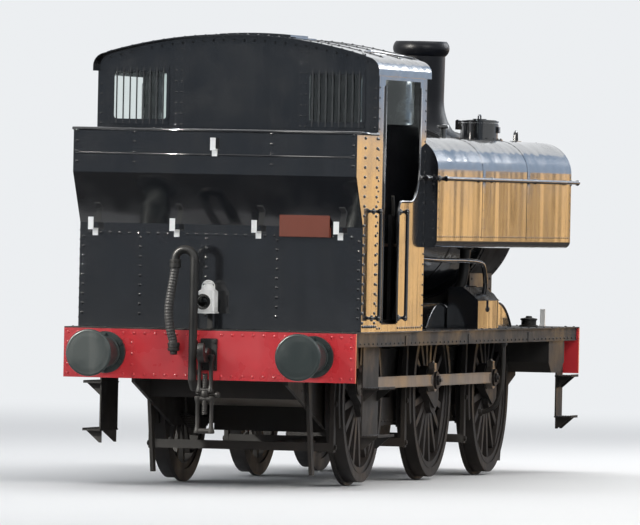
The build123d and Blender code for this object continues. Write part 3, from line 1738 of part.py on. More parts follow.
# Handrails, each a round rail on short posts
rail_radius = 16
post_radius = 11
tank_rail_z = rail + 2525
rail_stand = 62
rail_end_gap = 20
rail_overhang = 15
rail_cab_gap = 45
post_inset = 30
cab_post_inset = 20
tank_rail_y = tank_half + rail_stand
tank_rail_front_x = tank_front_x + rail_overhang
tank_rail_posts = 4
cab_rail_y = cab_out + rail_stand
cab_rail_low = rail + 1350
cab_rail_high = rail + 2260
cab_rail_places = (-3540, -2600)
cab_top_rail_rear_x = opening_front_x + rail_overhang
with BuildPart() as handrails:
    for side in (1, -1):
        # Along the tank, then a short one in line with it on the cab side
        for rear_x, front_x, face_y, rail_y, posts in (
            (
                cab_front_x + rail_end_gap,
                tank_rail_front_x,
                tank_half,
                tank_rail_y,
                tank_rail_posts,
            ),
            (cab_top_rail_rear_x, cab_front_x - rail_cab_gap, cab_out, cab_rail_y, 2),
        ):
            with Locations(
                Location(((rear_x + front_x) / 2, side * rail_y, tank_rail_z), (0, 90, 0))
            ):
                Cylinder(rail_radius, front_x - rear_x)
            post_step = (front_x - rear_x - 2 * post_inset) / (posts - 1)
            for post in range(posts):
                with Locations(
                    Location(
                        (
                            rear_x + post_inset + post * post_step,
                            side * (face_y + rail_y) / 2,
                            tank_rail_z,
                        ),
                        (90, 0, 0),
                    )
                ):
                    Cylinder(post_radius, rail_y - face_y)
        for rail_x in cab_rail_places:
            with Locations((rail_x, side * cab_rail_y, (cab_rail_low + cab_rail_high) / 2)):
                Cylinder(rail_radius, cab_rail_high - cab_rail_low)
            for post_z in (cab_rail_low + cab_post_inset, cab_rail_high - cab_post_inset):
                with Locations(
                    Location((rail_x, side * (cab_out + cab_rail_y) / 2, post_z), (90, 0, 0))
                ):
                    Cylinder(post_radius, cab_rail_y - cab_out)
handrails.part.label = "handrails"
export_step(handrails.part, "parts/handrails.step")

# Steps hung from the running plate
step_in = 1095
step_out = 1245
step_plate = 12
step_back_inset = 20
step_places = (
    # rear edge and front edge of the treads, heights of the treads
    (-3484, -2904, (410, 800)),
    (3790, 4080, (470, 830)),
)
with BuildPart() as steps:
    for step_rear_x, step_front_x, treads in step_places:
        for side in (1, -1):
            with BuildSketch(across(side * (step_in + step_plate / 2))):
                with BuildLine():
                    Polyline(
                        (step_rear_x + step_back_inset, rail + treads[0]),
                        (step_front_x - step_back_inset, rail + treads[0]),
                        (step_front_x - step_back_inset, plate_under),
                        (step_rear_x + step_back_inset, plate_under),
                        close=True,
                    )
                make_face()
            extrude(amount=step_plate / 2, both=True)
            for tread in treads:
                with Locations(
                    (
                        (step_rear_x + step_front_x) / 2,
                        side * (step_in + step_out) / 2,
                        rail + tread - step_plate / 2,
                    )
                ):
                    Box(step_front_x - step_rear_x, step_out - step_in, step_plate)
steps.part.label = "steps"
export_step(steps.part, "parts/steps.step")

# Toolboxes on the running plate, with sloping lids
toolbox_in = 884
toolbox_out = 1150
toolbox_rear_x = 466
toolbox_front_x = 1246
toolbox_front_height = 1500
toolbox_back_height = 1607
toolbox_slope = 130
with BuildPart() as toolboxes:
    for side in (1, -1):
        with BuildSketch(Plane.YZ.offset(toolbox_rear_x)):
            with BuildLine():
                Polyline(
                    (side * toolbox_in, plate_z),
                    (side * toolbox_out, plate_z),
                    (side * toolbox_out, rail + toolbox_front_height),
                    (side * (toolbox_out - toolbox_slope), rail + toolbox_back_height),
                    (side * toolbox_in, rail + toolbox_back_height),
                    close=True,
                )
            make_face()
        extrude(amount=toolbox_front_x - toolbox_rear_x)
toolboxes.part.label = "toolboxes"
export_step(toolboxes.part, "parts/toolboxes.step")

# Sandboxes under the front of the running plate, and their pipes to the rail
sandbox_rear_x = 3150
sandbox_front_x = 3770
sandbox_bottom = rail + 860
sandbox_in = 720
sandbox_out = 1180
sand_pipe_radius = 19
sandbox_rise = 90
sandbox_front_slope = 160
sandbox_rear_slope = 110
with BuildPart() as sandboxes:
    for side in (1, -1):
        with BuildSketch(across(side * (sandbox_in + sandbox_out) / 2)):
            with BuildLine():
                Polyline(
                    (sandbox_rear_x, plate_under),
                    (sandbox_front_x, plate_under),
                    (sandbox_front_x, sandbox_bottom + sandbox_rise),
                    (sandbox_front_x - sandbox_front_slope, sandbox_bottom),
                    (sandbox_rear_x + sandbox_rear_slope, sandbox_bottom),
                    (sandbox_rear_x, sandbox_bottom + sandbox_rise),
                    close=True,
                )
            make_face()
        extrude(amount=(sandbox_out - sandbox_in) / 2, both=True)
sandboxes.part.label = "sandboxes"
export_step(sandboxes.part, "parts/sandboxes.step")

sand_y = (wheel_back + wheel_face) / 2
sand_route = (
    # place along the engine, height
    (sandbox_rear_x + 240, sandbox_bottom),
    (sandbox_rear_x + 215, sandbox_bottom - 260),
    (leading_x + 600, rail + 240),
    (leading_x + 440, rail + 70),
)
with BuildPart() as sand_pipes:
    for side in (1, -1):
        with BuildLine():
            sand_path = Spline(
                *[(place_x, side * sand_y, place_z) for place_x, place_z in sand_route],
                tangents=((0, 0, -1), (-1, 0, -1)),
            )
        with BuildSketch(Plane(sand_path @ 0, z_dir=sand_path % 0)):
            Circle(sand_pipe_radius)
        sweep()
sand_pipes.part.label = "sand_pipes"
export_step(sand_pipes.part, "parts/sand_pipes.step")

# Guard irons in front of the leading wheels and behind the trailing ones
guard_front_x = 3650
guard_rear_x = -3560
guard_top = 930
guard_low = rail + 75
guard_top_half = 45
guard_low_half = 40
guard_lean = 190
guard_thickness = 28
with BuildPart() as guard_irons:
    for side in (1, -1):
        for end, guard_x in ((1, guard_front_x), (-1, guard_rear_x)):
            with BuildSketch(across(side * (frame_out + guard_thickness / 2))):
                with BuildLine():
                    Polyline(
                        (guard_x - guard_top_half, guard_top),
                        (guard_x + guard_top_half, guard_top),
                        (guard_x + guard_low_half - end * guard_lean, guard_low),
                        (guard_x - guard_low_half - end * guard_lean, guard_low),
                        close=True,
                    )
                make_face()
            extrude(amount=guard_thickness / 2, both=True)
guard_irons.part.label = "guard_irons"
export_step(guard_irons.part, "parts/guard_irons.step")

# Whistles on the firebox, just ahead of the cab
whistle_x = cab_front_x + 130
whistle_places = (
    # place across, height of the stem
    (-110, 300),
    (110, 260),
)
whistle_stem_radius = 16
whistle_bell_radius = 36
whistle_bell_height = 150
whistle_bell_lap = 30
with BuildPart() as whistles:
    for whistle_y, height in whistle_places:
        with Locations((whistle_x, whistle_y, firebox_top_z)):
            Cylinder(whistle_stem_radius, height, align=standing)
        with Locations((whistle_x, whistle_y, firebox_top_z + height - whistle_bell_lap)):
            Cylinder(whistle_bell_radius, whistle_bell_height, align=standing)
whistles.part.label = "whistles"
export_step(whistles.part, "parts/whistles.step")

# Fittings on the backhead: firehole door, regulator, gauge glass and pressure gauges
firehole_z = rail + 1760
firehole_width = 460
firehole_height = 330
firehole_depth = 40
regulator_z = rail + 2560
regulator_boss_radius = 60
regulator_boss_depth = 80
regulator_reach = 70
regulator_depth = 24
regulator_length = 420
regulator_width = 34
regulator_shift = 120
regulator_drop = 30
gauge_depth = 70
gauges = (
    # place across, height, radius
    (-330, rail + 2600, 75),
    (330, rail + 2640, 75),
    (0, rail + 2790, 90),
)
water_glass_y = -200
water_glass_z = rail + 2440
water_glass_width = 60
water_glass_height = 300
reverser_reach = 100
reverser_y = -1040
reverser_depth = 80
reverser_width = 30
reverser_height = 900
with BuildPart() as cab_fittings:
    with Locations((backhead_x - firehole_depth / 2, 0, firehole_z)):
        Box(firehole_depth, firehole_width, firehole_height)
    with Locations(Location((backhead_x - regulator_boss_depth / 2, 0, regulator_z), (0, 90, 0))):
        Cylinder(regulator_boss_radius, regulator_boss_depth)
    with Locations(
        (backhead_x - regulator_reach, regulator_shift, regulator_z - regulator_drop)
    ):
        Box(regulator_depth, regulator_length, regulator_width)
    for gauge_y, gauge_z, radius in gauges:
        with Locations(Location((backhead_x - gauge_depth / 2, gauge_y, gauge_z), (0, 90, 0))):
            Cylinder(radius, gauge_depth)
    with Locations((backhead_x - water_glass_width / 2, water_glass_y, water_glass_z)):
        Box(water_glass_width, water_glass_width, water_glass_height)
    with Locations((backhead_x - reverser_reach, reverser_y, cab_floor_z)):
        Box(reverser_depth, reverser_width, reverser_height, align=standing)
cab_fittings.part.label = "cab_fittings"
export_step(cab_fittings.part, "parts/cab_fittings.step")
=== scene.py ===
import json
import math

import bmesh
import bpy
from mathutils import Matrix, Vector


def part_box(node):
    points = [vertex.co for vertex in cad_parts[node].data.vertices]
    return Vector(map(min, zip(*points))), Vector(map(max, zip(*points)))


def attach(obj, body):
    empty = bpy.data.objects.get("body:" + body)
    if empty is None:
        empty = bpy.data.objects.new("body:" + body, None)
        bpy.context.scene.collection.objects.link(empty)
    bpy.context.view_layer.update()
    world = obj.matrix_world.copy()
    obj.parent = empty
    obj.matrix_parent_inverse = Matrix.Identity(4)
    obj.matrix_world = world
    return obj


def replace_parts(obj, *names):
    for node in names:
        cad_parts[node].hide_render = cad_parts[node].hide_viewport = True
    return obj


# The engine faces +X, its left is +Y, and the wheel flanges touch zero height
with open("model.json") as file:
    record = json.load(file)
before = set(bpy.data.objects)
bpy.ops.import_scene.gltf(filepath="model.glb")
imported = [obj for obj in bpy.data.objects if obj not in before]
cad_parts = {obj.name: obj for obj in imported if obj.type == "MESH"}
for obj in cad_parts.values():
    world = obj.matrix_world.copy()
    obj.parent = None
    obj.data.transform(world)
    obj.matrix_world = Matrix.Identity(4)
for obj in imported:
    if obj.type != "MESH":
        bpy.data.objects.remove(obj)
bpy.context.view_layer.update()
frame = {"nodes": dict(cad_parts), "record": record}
nodes = frame["nodes"]
print("frame loaded:", len(nodes), "nodes")


# Shared node helpers

# Sets each input of a node to a value, or links it to the socket that its value comes from.
def feed(tree, node, inputs):
    for label, value in inputs.items():
        if isinstance(value, bpy.types.NodeSocket):
            tree.links.new(value, node.inputs[label])
        else:
            node.inputs[label].default_value = value


# A node with its settings and inputs.
def addNode(tree, kind, inputs, **settings):
    node = tree.nodes.new(kind)
    for label, value in settings.items():
        setattr(node, label, value)
    feed(tree, node, inputs)
    return node


def newTree(name, kind, inputs, outputs):
    tree = bpy.data.node_groups.new(name, kind)
    for way, sockets in (("INPUT", inputs), ("OUTPUT", outputs)):
        for label, socketKind in sockets.items():
            tree.interface.new_socket(label, in_out=way, socket_type="NodeSocket" + socketKind)
    given = tree.nodes.new("NodeGroupInput").outputs
    return tree, given, tree.nodes.new("NodeGroupOutput")


def newMaterial(name):
    material = bpy.data.materials.new(name)
    material.use_nodes = True
    return material, material.node_tree, material.node_tree.nodes["Principled BSDF"]


def addMath(tree, operation, first, second, clamp=False):
    return addNode(tree, "ShaderNodeMath", {0: first, 1: second}, operation=operation,
                   use_clamp=clamp).outputs[0]


def addNoise(tree, vector, scale, detail, roughness=0.55, stretch=None):
    if stretch:
        vector = addNode(tree, "ShaderNodeMapping",
                         {"Vector": vector, "Scale": stretch}).outputs["Vector"]
    return addNode(tree, "ShaderNodeTexNoise", {
        "Vector": vector, "Scale": scale, "Detail": detail, "Roughness": roughness,
    }).outputs["Fac"]


def addRange(tree, value, low, high, fromLow, fromHigh):
    return addNode(tree, "ShaderNodeMapRange", {
        "Value": value, "From Min": fromLow, "From Max": fromHigh, "To Min": low, "To Max": high,
    }, interpolation_type="SMOOTHSTEP").outputs["Result"]


def addMix(tree, factor, first, second):
    return addNode(tree, "ShaderNodeMix", {"Factor": factor, "A": first, "B": second},
                   data_type="RGBA").outputs["Result"]


def objectPlace(tree):
    return tree.nodes.new("ShaderNodeTexCoord").outputs["Object"]


# Track dust low down, soot and dust lying on what faces up, and rain streaks.
def makeGrime():
    group, given, result = newTree("grime", "ShaderNodeTree", {
        "Paint": "Color", "Dust colour": "Color", "Dust below": "Float", "Low dust": "Float",
        "Top dust": "Float", "Streaks": "Float",
    }, {"Color": "Color", "Dirt": "Float"})
    where = objectPlace(group)
    split = addNode(group, "ShaderNodeSeparateXYZ", {0: where})
    patches = addNoise(group, where, 2.3, 5.0)
    low = addRange(group, split.outputs["Z"], 1.0, 0.0, 0.15, given["Dust below"])
    lowDust = addMath(group, "MULTIPLY", low, given["Low dust"])
    lowDust = addMath(group, "MULTIPLY", lowDust, addRange(group, patches, 0.45, 1.5, 0.3, 0.7))
    normal = group.nodes.new("ShaderNodeNewGeometry").outputs["Normal"]
    facing = addNode(group, "ShaderNodeSeparateXYZ", {0: normal})
    level = addRange(group, facing.outputs["Z"], 0.0, 1.0, 0.5, 1.0)
    topDust = addMath(group, "MULTIPLY", level, given["Top dust"])
    topDust = addMath(group, "MULTIPLY", topDust, addRange(group, patches, 0.3, 1.4, 0.35, 0.65))
    runs = addNoise(group, where, 9.0, 4.0, 0.6, (1.0, 1.0, 0.09))
    streaks = addMath(group, "MULTIPLY", addRange(group, runs, 0.0, 1.0, 0.52, 0.75),
                      given["Streaks"])
    dirt = addMath(group, "ADD", lowDust, topDust)
    dirt = addMath(group, "ADD", dirt, streaks, clamp=True)
    colour = addMix(group, dirt, given["Paint"], given["Dust colour"])
    feed(group, result, {"Color": colour, "Dirt": dirt})
    return group


# Uneven gloss, and the height of upright ripples in sheet and of fine grain.
def makeSurface():
    group, given, result = newTree("surface", "ShaderNodeTree", {
        "Gloss": "Float", "Gloss spread": "Float", "Dirt": "Float", "Ripple": "Float",
        "Grain": "Float", "Grain scale": "Float",
    }, {"Roughness": "Float", "Height": "Float"})
    where = objectPlace(group)
    patches = addRange(group, addNoise(group, where, 3.1, 4.0), -1.0, 1.0, 0.3, 0.7)
    rough = addMath(group, "ADD", given["Gloss"],
                    addMath(group, "MULTIPLY", patches, given["Gloss spread"]))
    dirtRough = 0.6
    rough = addMath(group, "ADD", rough, addMath(group, "MULTIPLY", given["Dirt"], dirtRough),
                    clamp=True)
    ripples = addNoise(group, where, 1.0, 0.0, 0.5, (5.0, 5.0, 0.30))
    fine = addNode(group, "ShaderNodeTexNoise", {
        "Vector": where, "Scale": given["Grain scale"], "Detail": 3.0,
    })
    height = addMath(group, "ADD", addMath(group, "MULTIPLY", ripples, given["Ripple"]),
                     addMath(group, "MULTIPLY", fine.outputs["Fac"], given["Grain"]))
    feed(group, result, {"Roughness": rough, "Height": height})
    return group


grimeGroup = makeGrime()
surfaceGroup = makeSurface()


# Finishes: one paint function and a table of values

def makeFinish(name, paint, gloss, spread=0.08, *, streaks, metal=0.0, coat=0.0, coatRough=0.05,
               ior=1.5, dust=(0.10, 0.075, 0.055), dustBelow=1.1, lowDust=0.5, topDust=0.12,
               ripple=0.0, grain=0.0, grainScale=90.0):
    material, tree, shader = newMaterial(name)
    grime = addNode(tree, "ShaderNodeGroup", {
        "Paint": (*paint, 1.0), "Dust colour": (*dust, 1.0), "Dust below": dustBelow,
        "Low dust": lowDust, "Top dust": topDust, "Streaks": streaks,
    }, node_tree=grimeGroup)
    surface = addNode(tree, "ShaderNodeGroup", {
        "Gloss": gloss, "Gloss spread": spread, "Ripple": ripple, "Grain": grain,
        "Grain scale": grainScale, "Dirt": grime.outputs["Dirt"],
    }, node_tree=surfaceGroup)
    bump = addNode(tree, "ShaderNodeBump",
                   {"Distance": 1.0, "Height": surface.outputs["Height"]}).outputs["Normal"]
    feed(tree, shader, {
        "Base Color": grime.outputs["Color"], "Metallic": metal, "IOR": ior,
        "Roughness": surface.outputs["Roughness"], "Normal": bump, "Coat Normal": bump,
        "Coat Weight": coat, "Coat Roughness": coatRough,
    })
    return material


finishes = {
    "black_paint": makeFinish(
        "glossBlack", (0.008, 0.009, 0.011), 0.16, coat=0.8, ior=1.6, lowDust=0.35,
        topDust=0.10, streaks=0.03, ripple=0.0036, grain=0.00004),
    "red_paint": makeFinish(
        "beamRed", (0.58, 0.028, 0.035), 0.30, coat=0.5, coatRough=0.12, lowDust=0.12,
        topDust=0.10, streaks=0.10, grain=0.0001, dust=(0.11, 0.05, 0.04)),
    "frame_paint": makeFinish(
        "dustyBlack", (0.009, 0.009, 0.009), 0.44, 0.12, ior=1.42, dustBelow=1.5, lowDust=0.42,
        topDust=0.30, streaks=0.15, grain=0.0004, dust=(0.048, 0.036, 0.027)),
    "wheel_paint": makeFinish(
        "wheelBlack", (0.008, 0.008, 0.009), 0.38, 0.12, ior=1.42, dustBelow=1.6, lowDust=0.36,
        topDust=0.22, streaks=0.10, grain=0.0003, dust=(0.046, 0.035, 0.028)),
    "rod_steel": makeFinish(
        "oiledSteel", (0.42, 0.38, 0.34), 0.34, 0.12, metal=0.85, dustBelow=1.3, lowDust=0.45,
        topDust=0.3, streaks=0.1, grain=0.0002, dust=(0.15, 0.11, 0.08)),
    "buffer_steel": makeFinish(
        "bufferSteel", (0.032, 0.043, 0.042), 0.44, 0.14, metal=0.25, lowDust=0.15,
        topDust=0.10, streaks=0.12, grain=0.0005, dust=(0.20, 0.20, 0.19)),
    "smokebox_paint": makeFinish(
        "smokeboxBlack", (0.005, 0.006, 0.009), 0.38, 0.10, ior=1.30, topDust=0.04,
        streaks=0.04, ripple=0.0008, grain=0.0003, dust=(0.04, 0.038, 0.036)),
    "brass": makeFinish(
        "brass", (0.72, 0.48, 0.18), 0.22, 0.10, metal=1.0, lowDust=0.1, topDust=0.15,
        streaks=0.08, grain=0.0001, dust=(0.12, 0.09, 0.05)),
    "cab_paint": makeFinish(
        "cabBlack", (0.030, 0.029, 0.028), 0.40, 0.10, topDust=0.3, streaks=0.06, grain=0.0003),
    "floor_wood": makeFinish(
        "cabBoards", (0.15, 0.10, 0.065), 0.70, 0.15, topDust=0.45, streaks=0.25, grain=0.0015,
        grainScale=35.0, dust=(0.03, 0.027, 0.025)),
    "white_paint": makeFinish(
        "whitePaint", (0.78, 0.78, 0.76), 0.35, coat=0.3, lowDust=0.05, topDust=0.08,
        streaks=0.12, grain=0.0002),
    "lamp_white": makeFinish(
        "lampWhite", (0.74, 0.74, 0.72), 0.38, coat=0.3, lowDust=0.1, topDust=0.10,
        streaks=0.15, grain=0.0002),
    "hose_black": makeFinish(
        "hoseRubber", (0.016, 0.016, 0.017), 0.62, 0.10, dustBelow=2.2, lowDust=0.15,
        topDust=0.2, streaks=0.1, grain=0.0008),
}


def makeGlass(name, tint, rough):
    material, tree, shader = newMaterial(name)
    patches = addNoise(tree, objectPlace(tree), 5.0, 4.0)
    feed(tree, shader, {
        "Roughness": addRange(tree, patches, rough, rough + 0.15, 0.4, 0.7),
        "Base Color": (*tint, 1.0), "Transmission Weight": 1.0, "IOR": 1.45,
    })
    return material


finishes["glass"] = makeGlass("windowGlass", (0.80, 0.86, 0.84), 0.02)
lensGlass = makeGlass("lensGlass", (0.06, 0.07, 0.07), 0.03)
plateBrown = makeFinish("plateBrown", (0.16, 0.034, 0.017), 0.60, 0.1, ior=1.3, topDust=0.1,
                        streaks=0.15, grain=0.0004, dust=(0.05, 0.03, 0.025))
copper = makeFinish("copperPipe", (0.55, 0.27, 0.16), 0.32, 0.12, metal=1.0, topDust=0.3,
                    streaks=0.15, dust=(0.06, 0.045, 0.035))
dialWhite = makeFinish("dialWhite", (0.70, 0.68, 0.60), 0.4, 0.05, lowDust=0.0, streaks=0.05)
print("finishes ready:", len(finishes))


# Packed nodes: their finish comes from the record, and their soft faces from a modifier

def makeSoftener():
    tree, given, result = newTree("softFaces", "GeometryNodeTree", {
        "Geometry": "Geometry", "Sharp from": "Float"}, {"Geometry": "Geometry"})
    tree.interface.items_tree["Sharp from"].default_value = math.radians(32)
    merge = addNode(tree, "GeometryNodeMergeByDistance",
                    {"Geometry": given["Geometry"], "Distance": 0.00005})
    angle = tree.nodes.new("GeometryNodeInputMeshEdgeAngle")
    sharp = addNode(tree, "FunctionNodeCompare", {
        "A": angle.outputs["Unsigned Angle"], "B": given["Sharp from"],
    }, data_type="FLOAT", operation="LESS_THAN")
    smoothFaces = addNode(tree, "GeometryNodeSetShadeSmooth",
                          {"Geometry": merge.outputs["Geometry"]}, domain="FACE")
    smoothEdges = addNode(tree, "GeometryNodeSetShadeSmooth", {
        "Geometry": smoothFaces.outputs["Geometry"], "Shade Smooth": sharp.outputs["Result"],
    }, domain="EDGE")
    feed(tree, result, {"Geometry": smoothEdges.outputs["Geometry"]})
    return tree


softFaces = makeSoftener()


def softenPiece(piece):
    piece.modifiers.new("softFaces", "NODES").node_group = softFaces


for row in frame["record"]["subparts"]:
    node = nodes[row["node"]]
    if not node.material_slots:
        node.data.materials.append(None)
    for materialSlot in node.material_slots:
        materialSlot.link = "OBJECT"
        materialSlot.material = finishes[row["material_slot"]]
    softenPiece(node)
print("nodes painted")


# Piece makers

backward, rightward, leftward, upward = (-1, 0, 0), (0, -1, 0), (0, 1, 0), (0, 0, 1)
downward, forward = (0, 0, -1), (1, 0, 0)
sides = ((1, leftward), (-1, rightward))


def linkObject(name, data):
    thing = bpy.data.objects.new(name, data)
    bpy.context.scene.collection.objects.link(thing)
    return thing


def meshPiece(name, mesh, slotName, body="engine", finish=None):
    piece = linkObject(name, mesh)
    mesh.materials.clear()
    mesh.materials.append(finish or finishes[slotName])
    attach(piece, body)
    return piece


# Smooth all over, flat all over, or soft with sharp edges as on the nodes.
def bmeshPiece(name, shape, slotName="black_paint", body="engine", finish=None, smooth=False,
               sharp=False):
    bmesh.ops.recalc_face_normals(shape, faces=shape.faces)
    for face in shape.faces:
        face.smooth = smooth
    mesh = bpy.data.meshes.new(name)
    shape.to_mesh(mesh)
    shape.free()
    piece = meshPiece(name, mesh, slotName, body, finish)
    if sharp:
        softenPiece(piece)
    return piece


# A block between two opposite corners, with its edges taken off.
def addBlock(shape, corner, opposite, bevel=0.002):
    low, high = (Vector(map(pick, corner, opposite)) for pick in (min, max))
    place = Matrix.Translation((low + high) / 2) @ Matrix.Diagonal((*(high - low), 1.0))
    block = bmesh.ops.create_cube(shape, size=1.0, matrix=place)
    edges = {edge for vert in block["verts"] for edge in vert.link_edges}
    bmesh.ops.bevel(shape, geom=list(edges), offset=min(bevel, min(high - low) * 0.3),
                    segments=1, affect="EDGES", profile=0.5)


# A point off a centre by a radius at an angle in degrees, in the plane named by its two axes.
def around(centre, radius, degrees, plane="YZ"):
    turn = math.radians(degrees)
    across, up = radius * math.cos(turn), radius * math.sin(turn)
    offset = {"XZ": (across, 0, up), "YZ": (0, across, up), "XY": (across, up, 0)}[plane]
    return Vector(centre) + Vector(offset)


def arcPoints(centre, radius, start, end, steps, plane="XZ"):
    return [around(centre, radius, start + (end - start) * step / steps, plane)
            for step in range(steps + 1)]


# The faces between two rings of as many corners each.
def addSides(shape, first, second, closed=True):
    count = len(first)
    for step in range(count if closed else count - 1):
        after = (step + 1) % count
        shape.faces.new((first[step], first[after], second[after], second[step]))


poleRadius = 1e-6


# A closed turned shape: (radius, height) pairs about the local Z of place, poles closed.
def addLathe(shape, outline, place, steps):
    rings = []
    for radius, height in outline:
        if radius < poleRadius:
            rings.append([shape.verts.new(place @ Vector((0, 0, height)))])
            continue
        turns = [2 * math.pi * step / steps for step in range(steps)]
        rings.append([shape.verts.new(
            place @ Vector((radius * math.cos(turn), radius * math.sin(turn), height)))
            for turn in turns])
    for first, second in zip(rings, rings[1:]):
        if len(first) == len(second):
            if len(first) > 1:
                addSides(shape, first, second)
            continue
        for step in range(steps):
            after = (step + 1) % steps
            if len(first) == 1:
                shape.faces.new((first[0], second[step], second[after]))
            else:
                shape.faces.new((first[step], first[after], second[0]))
    for ring, flip in ((rings[0], True), (rings[-1], False)):
        if len(ring) > 1:
            shape.faces.new(ring[::-1] if flip else ring)


# A placement at a point with local Z along a direction.
def pointing(place, direction):
    turn = Vector(upward).rotation_difference(Vector(direction).normalized())
    return Matrix.Translation(place) @ turn.to_matrix().to_4x4()


# A round bar along points, of one radius or one for each point; slight bends are mitred.
def addTube(shape, points, radius, steps=10):
    widestMitre = 1.05
    path = [Vector(point) for point in points]
    radii = radius if isinstance(radius, list) else [radius] * len(path)
    turns = [2 * math.pi * step / steps for step in range(steps)]
    rings = []
    side = None
    for index, point in enumerate(path):
        near = path[max(index - 1, 0):index + 2]
        ways = [(after - before).normalized() for before, after in zip(near, near[1:])]
        ahead = sum(ways, Vector((0, 0, 0))).normalized()
        side = side or ahead.orthogonal().normalized()
        side = (side - ahead * side.dot(ahead)).normalized()
        other = ahead.cross(side)
        mitre = 1.0 / max(0.5, ahead.dot(ways[-1]))
        wide = radii[index] * (mitre if mitre < widestMitre else 1.0)
        rings.append([shape.verts.new(
            point + (side * math.cos(turn) + other * math.sin(turn)) * wide) for turn in turns])
    for first, second in zip(rings, rings[1:]):
        addSides(shape, first, second)
    shape.faces.new(rings[0][::-1])
    shape.faces.new(rings[-1])


# Corners at the points, and as many a depth away from them.
def shifted(shape, points, depth):
    near = [shape.verts.new(point) for point in points]
    return near, [shape.verts.new(Vector(point) + Vector(depth)) for point in points]


# A flat shape: a closed outline, made as thick as depth.
def addPrism(shape, outline, depth):
    near, far = shifted(shape, outline, depth)
    shape.faces.new(near[::-1])
    shape.faces.new(far)
    addSides(shape, near, far)


# A strip between two lines of points, made as thick as depth: bands, rims and frames.
def addStrip(shape, inner, outer, depth, closed=False):
    low, lowFar = shifted(shape, inner, depth)
    high, highFar = shifted(shape, outer, depth)
    for first, second in ((low, high), (high, highFar), (highFar, lowFar), (lowFar, low)):
        addSides(shape, first, second, closed)
    if not closed:
        for index in (0, -1):
            shape.faces.new((low[index], high[index], highFar[index], lowFar[index]))


def addRing(shape, centre, inner, outer, depth, plane, steps=48):
    full = 360 - 360 / steps
    addStrip(shape, arcPoints(centre, inner, 0, full, steps - 1, plane),
             arcPoints(centre, outer, 0, full, steps - 1, plane), depth, closed=True)


def addNut(shape, place, facing, radius, height):
    addLathe(shape, ((0, -0.002), (radius, -0.002), (radius, height * 0.8),
                     (radius * 0.8, height), (0, height)), pointing(place, facing), 6)


# A closed smooth line through the given points, divided between each two.
def smoothLoop(points):
    parts = 4
    points = [Vector(point) for point in points]
    count = len(points)
    line = []
    for index in range(count):
        before, here, after, beyond = (points[(index + step) % count] for step in (-1, 0, 1, 2))
        for part in range(parts):
            way = part / parts
            line.append(0.5 * (2 * here + (after - before) * way
                               + (2 * before - 5 * here + 4 * after - beyond) * way ** 2
                               + (3 * here - before - 3 * after + beyond) * way ** 3))
    return line


# Camera

photoCamera = {
    "place": (-87.439, -21.334, 2.262), "forward": (0.97018, 0.24229, 0.00636), "roll": 1.169,
    "focalPixels": 3368.5, "frame": (640, 525), "aimPixel": (333, 300.5), "closer": 3.15,
    "sensorWidth": 36.0, "clipEnd": 2000.0,
}


# The photograph's place and roll, with a longer lens so that the engine fills the frame.
def makeCamera():
    look = Vector(photoCamera["forward"]).normalized()
    level = look.cross(Vector(upward)).normalized()
    upright = level.cross(look)
    roll = math.radians(photoCamera["roll"])
    right = level * math.cos(roll) + upright * math.sin(roll)
    up = right.cross(look)
    width, height = photoCamera["frame"]
    aimX, aimY = photoCamera["aimPixel"]
    focal = photoCamera["focalPixels"]
    ahead = (look * focal + right * (aimX - width / 2) - up * (aimY - height / 2)).normalized()
    right = (right - ahead * right.dot(ahead)).normalized()
    up = right.cross(ahead)
    data = bpy.data.cameras.new("camera")
    data.sensor_width = photoCamera["sensorWidth"]
    data.lens = focal * photoCamera["closer"] * data.sensor_width / width
    data.clip_end = photoCamera["clipEnd"]
    camera = linkObject("camera", data)
    camera.matrix_world = Matrix.Translation(photoCamera["place"]) @ Matrix(
        (right, up, -ahead)).transposed().to_4x4()
    bpy.context.scene.camera = camera


makeCamera()


# Vacuum hoses: each hangs from its pipe's neck to a plug on the beam

hoses = {
    "radius": 0.038, "ribDepth": 0.005, "ribPitch": 0.024, "cuffRadius": 0.047, "cuffLength": 0.07,
    "beamFace": 4.205,
    "routes": (
        ("rear", -1, ((-4.295, 0.275, 1.850), (-4.296, 0.276, 1.760), (-4.310, 0.300, 1.600),
                      (-4.330, 0.318, 1.430), (-4.318, 0.300, 1.270), (-4.296, 0.277, 1.180),
                      (-4.295, 0.275, 1.106))),
        ("front", 1, ((4.295, -0.420, 1.475), (4.296, -0.421, 1.400), (4.316, -0.440, 1.290),
                      (4.312, -0.438, 1.150), (4.296, -0.421, 1.040), (4.295, -0.420, 0.975))),
    ),
}


# The points of a smooth line that has the route as its control points.
def routeLine(name, route):
    curve = bpy.data.curves.new(name, "CURVE")
    curve.dimensions = "3D"
    curve.resolution_u = 12
    spline = curve.splines.new("NURBS")
    spline.points.add(len(route) - 1)
    for point, place in zip(spline.points, route):
        point.co = (*place, 1.0)
    spline.order_u = 3
    spline.use_endpoint_u = True
    holder = linkObject(name, curve)
    bpy.context.view_layer.update()
    line = settled(holder)
    bpy.data.objects.remove(holder)
    return [vert.co.copy() for vert in line.vertices]


# What an object's modifiers or curve make, as a mesh.
def settled(holder):
    graph = bpy.context.evaluated_depsgraph_get()
    return bpy.data.meshes.new_from_object(holder.evaluated_get(graph))


# Points at an even spacing along a line.
def evenPoints(line, spacing):
    lengths = [(after - before).length for before, after in zip(line, line[1:])]
    count = round(sum(lengths) / spacing)
    step = sum(lengths) / count
    points, run, index = [line[0]], 0.0, 0
    for number in range(1, count):
        while run + lengths[index] < number * step:
            run += lengths[index]
            index += 1
        points.append(line[index].lerp(line[index + 1], (number * step - run) / lengths[index]))
    return points + [line[-1]], sum(lengths)


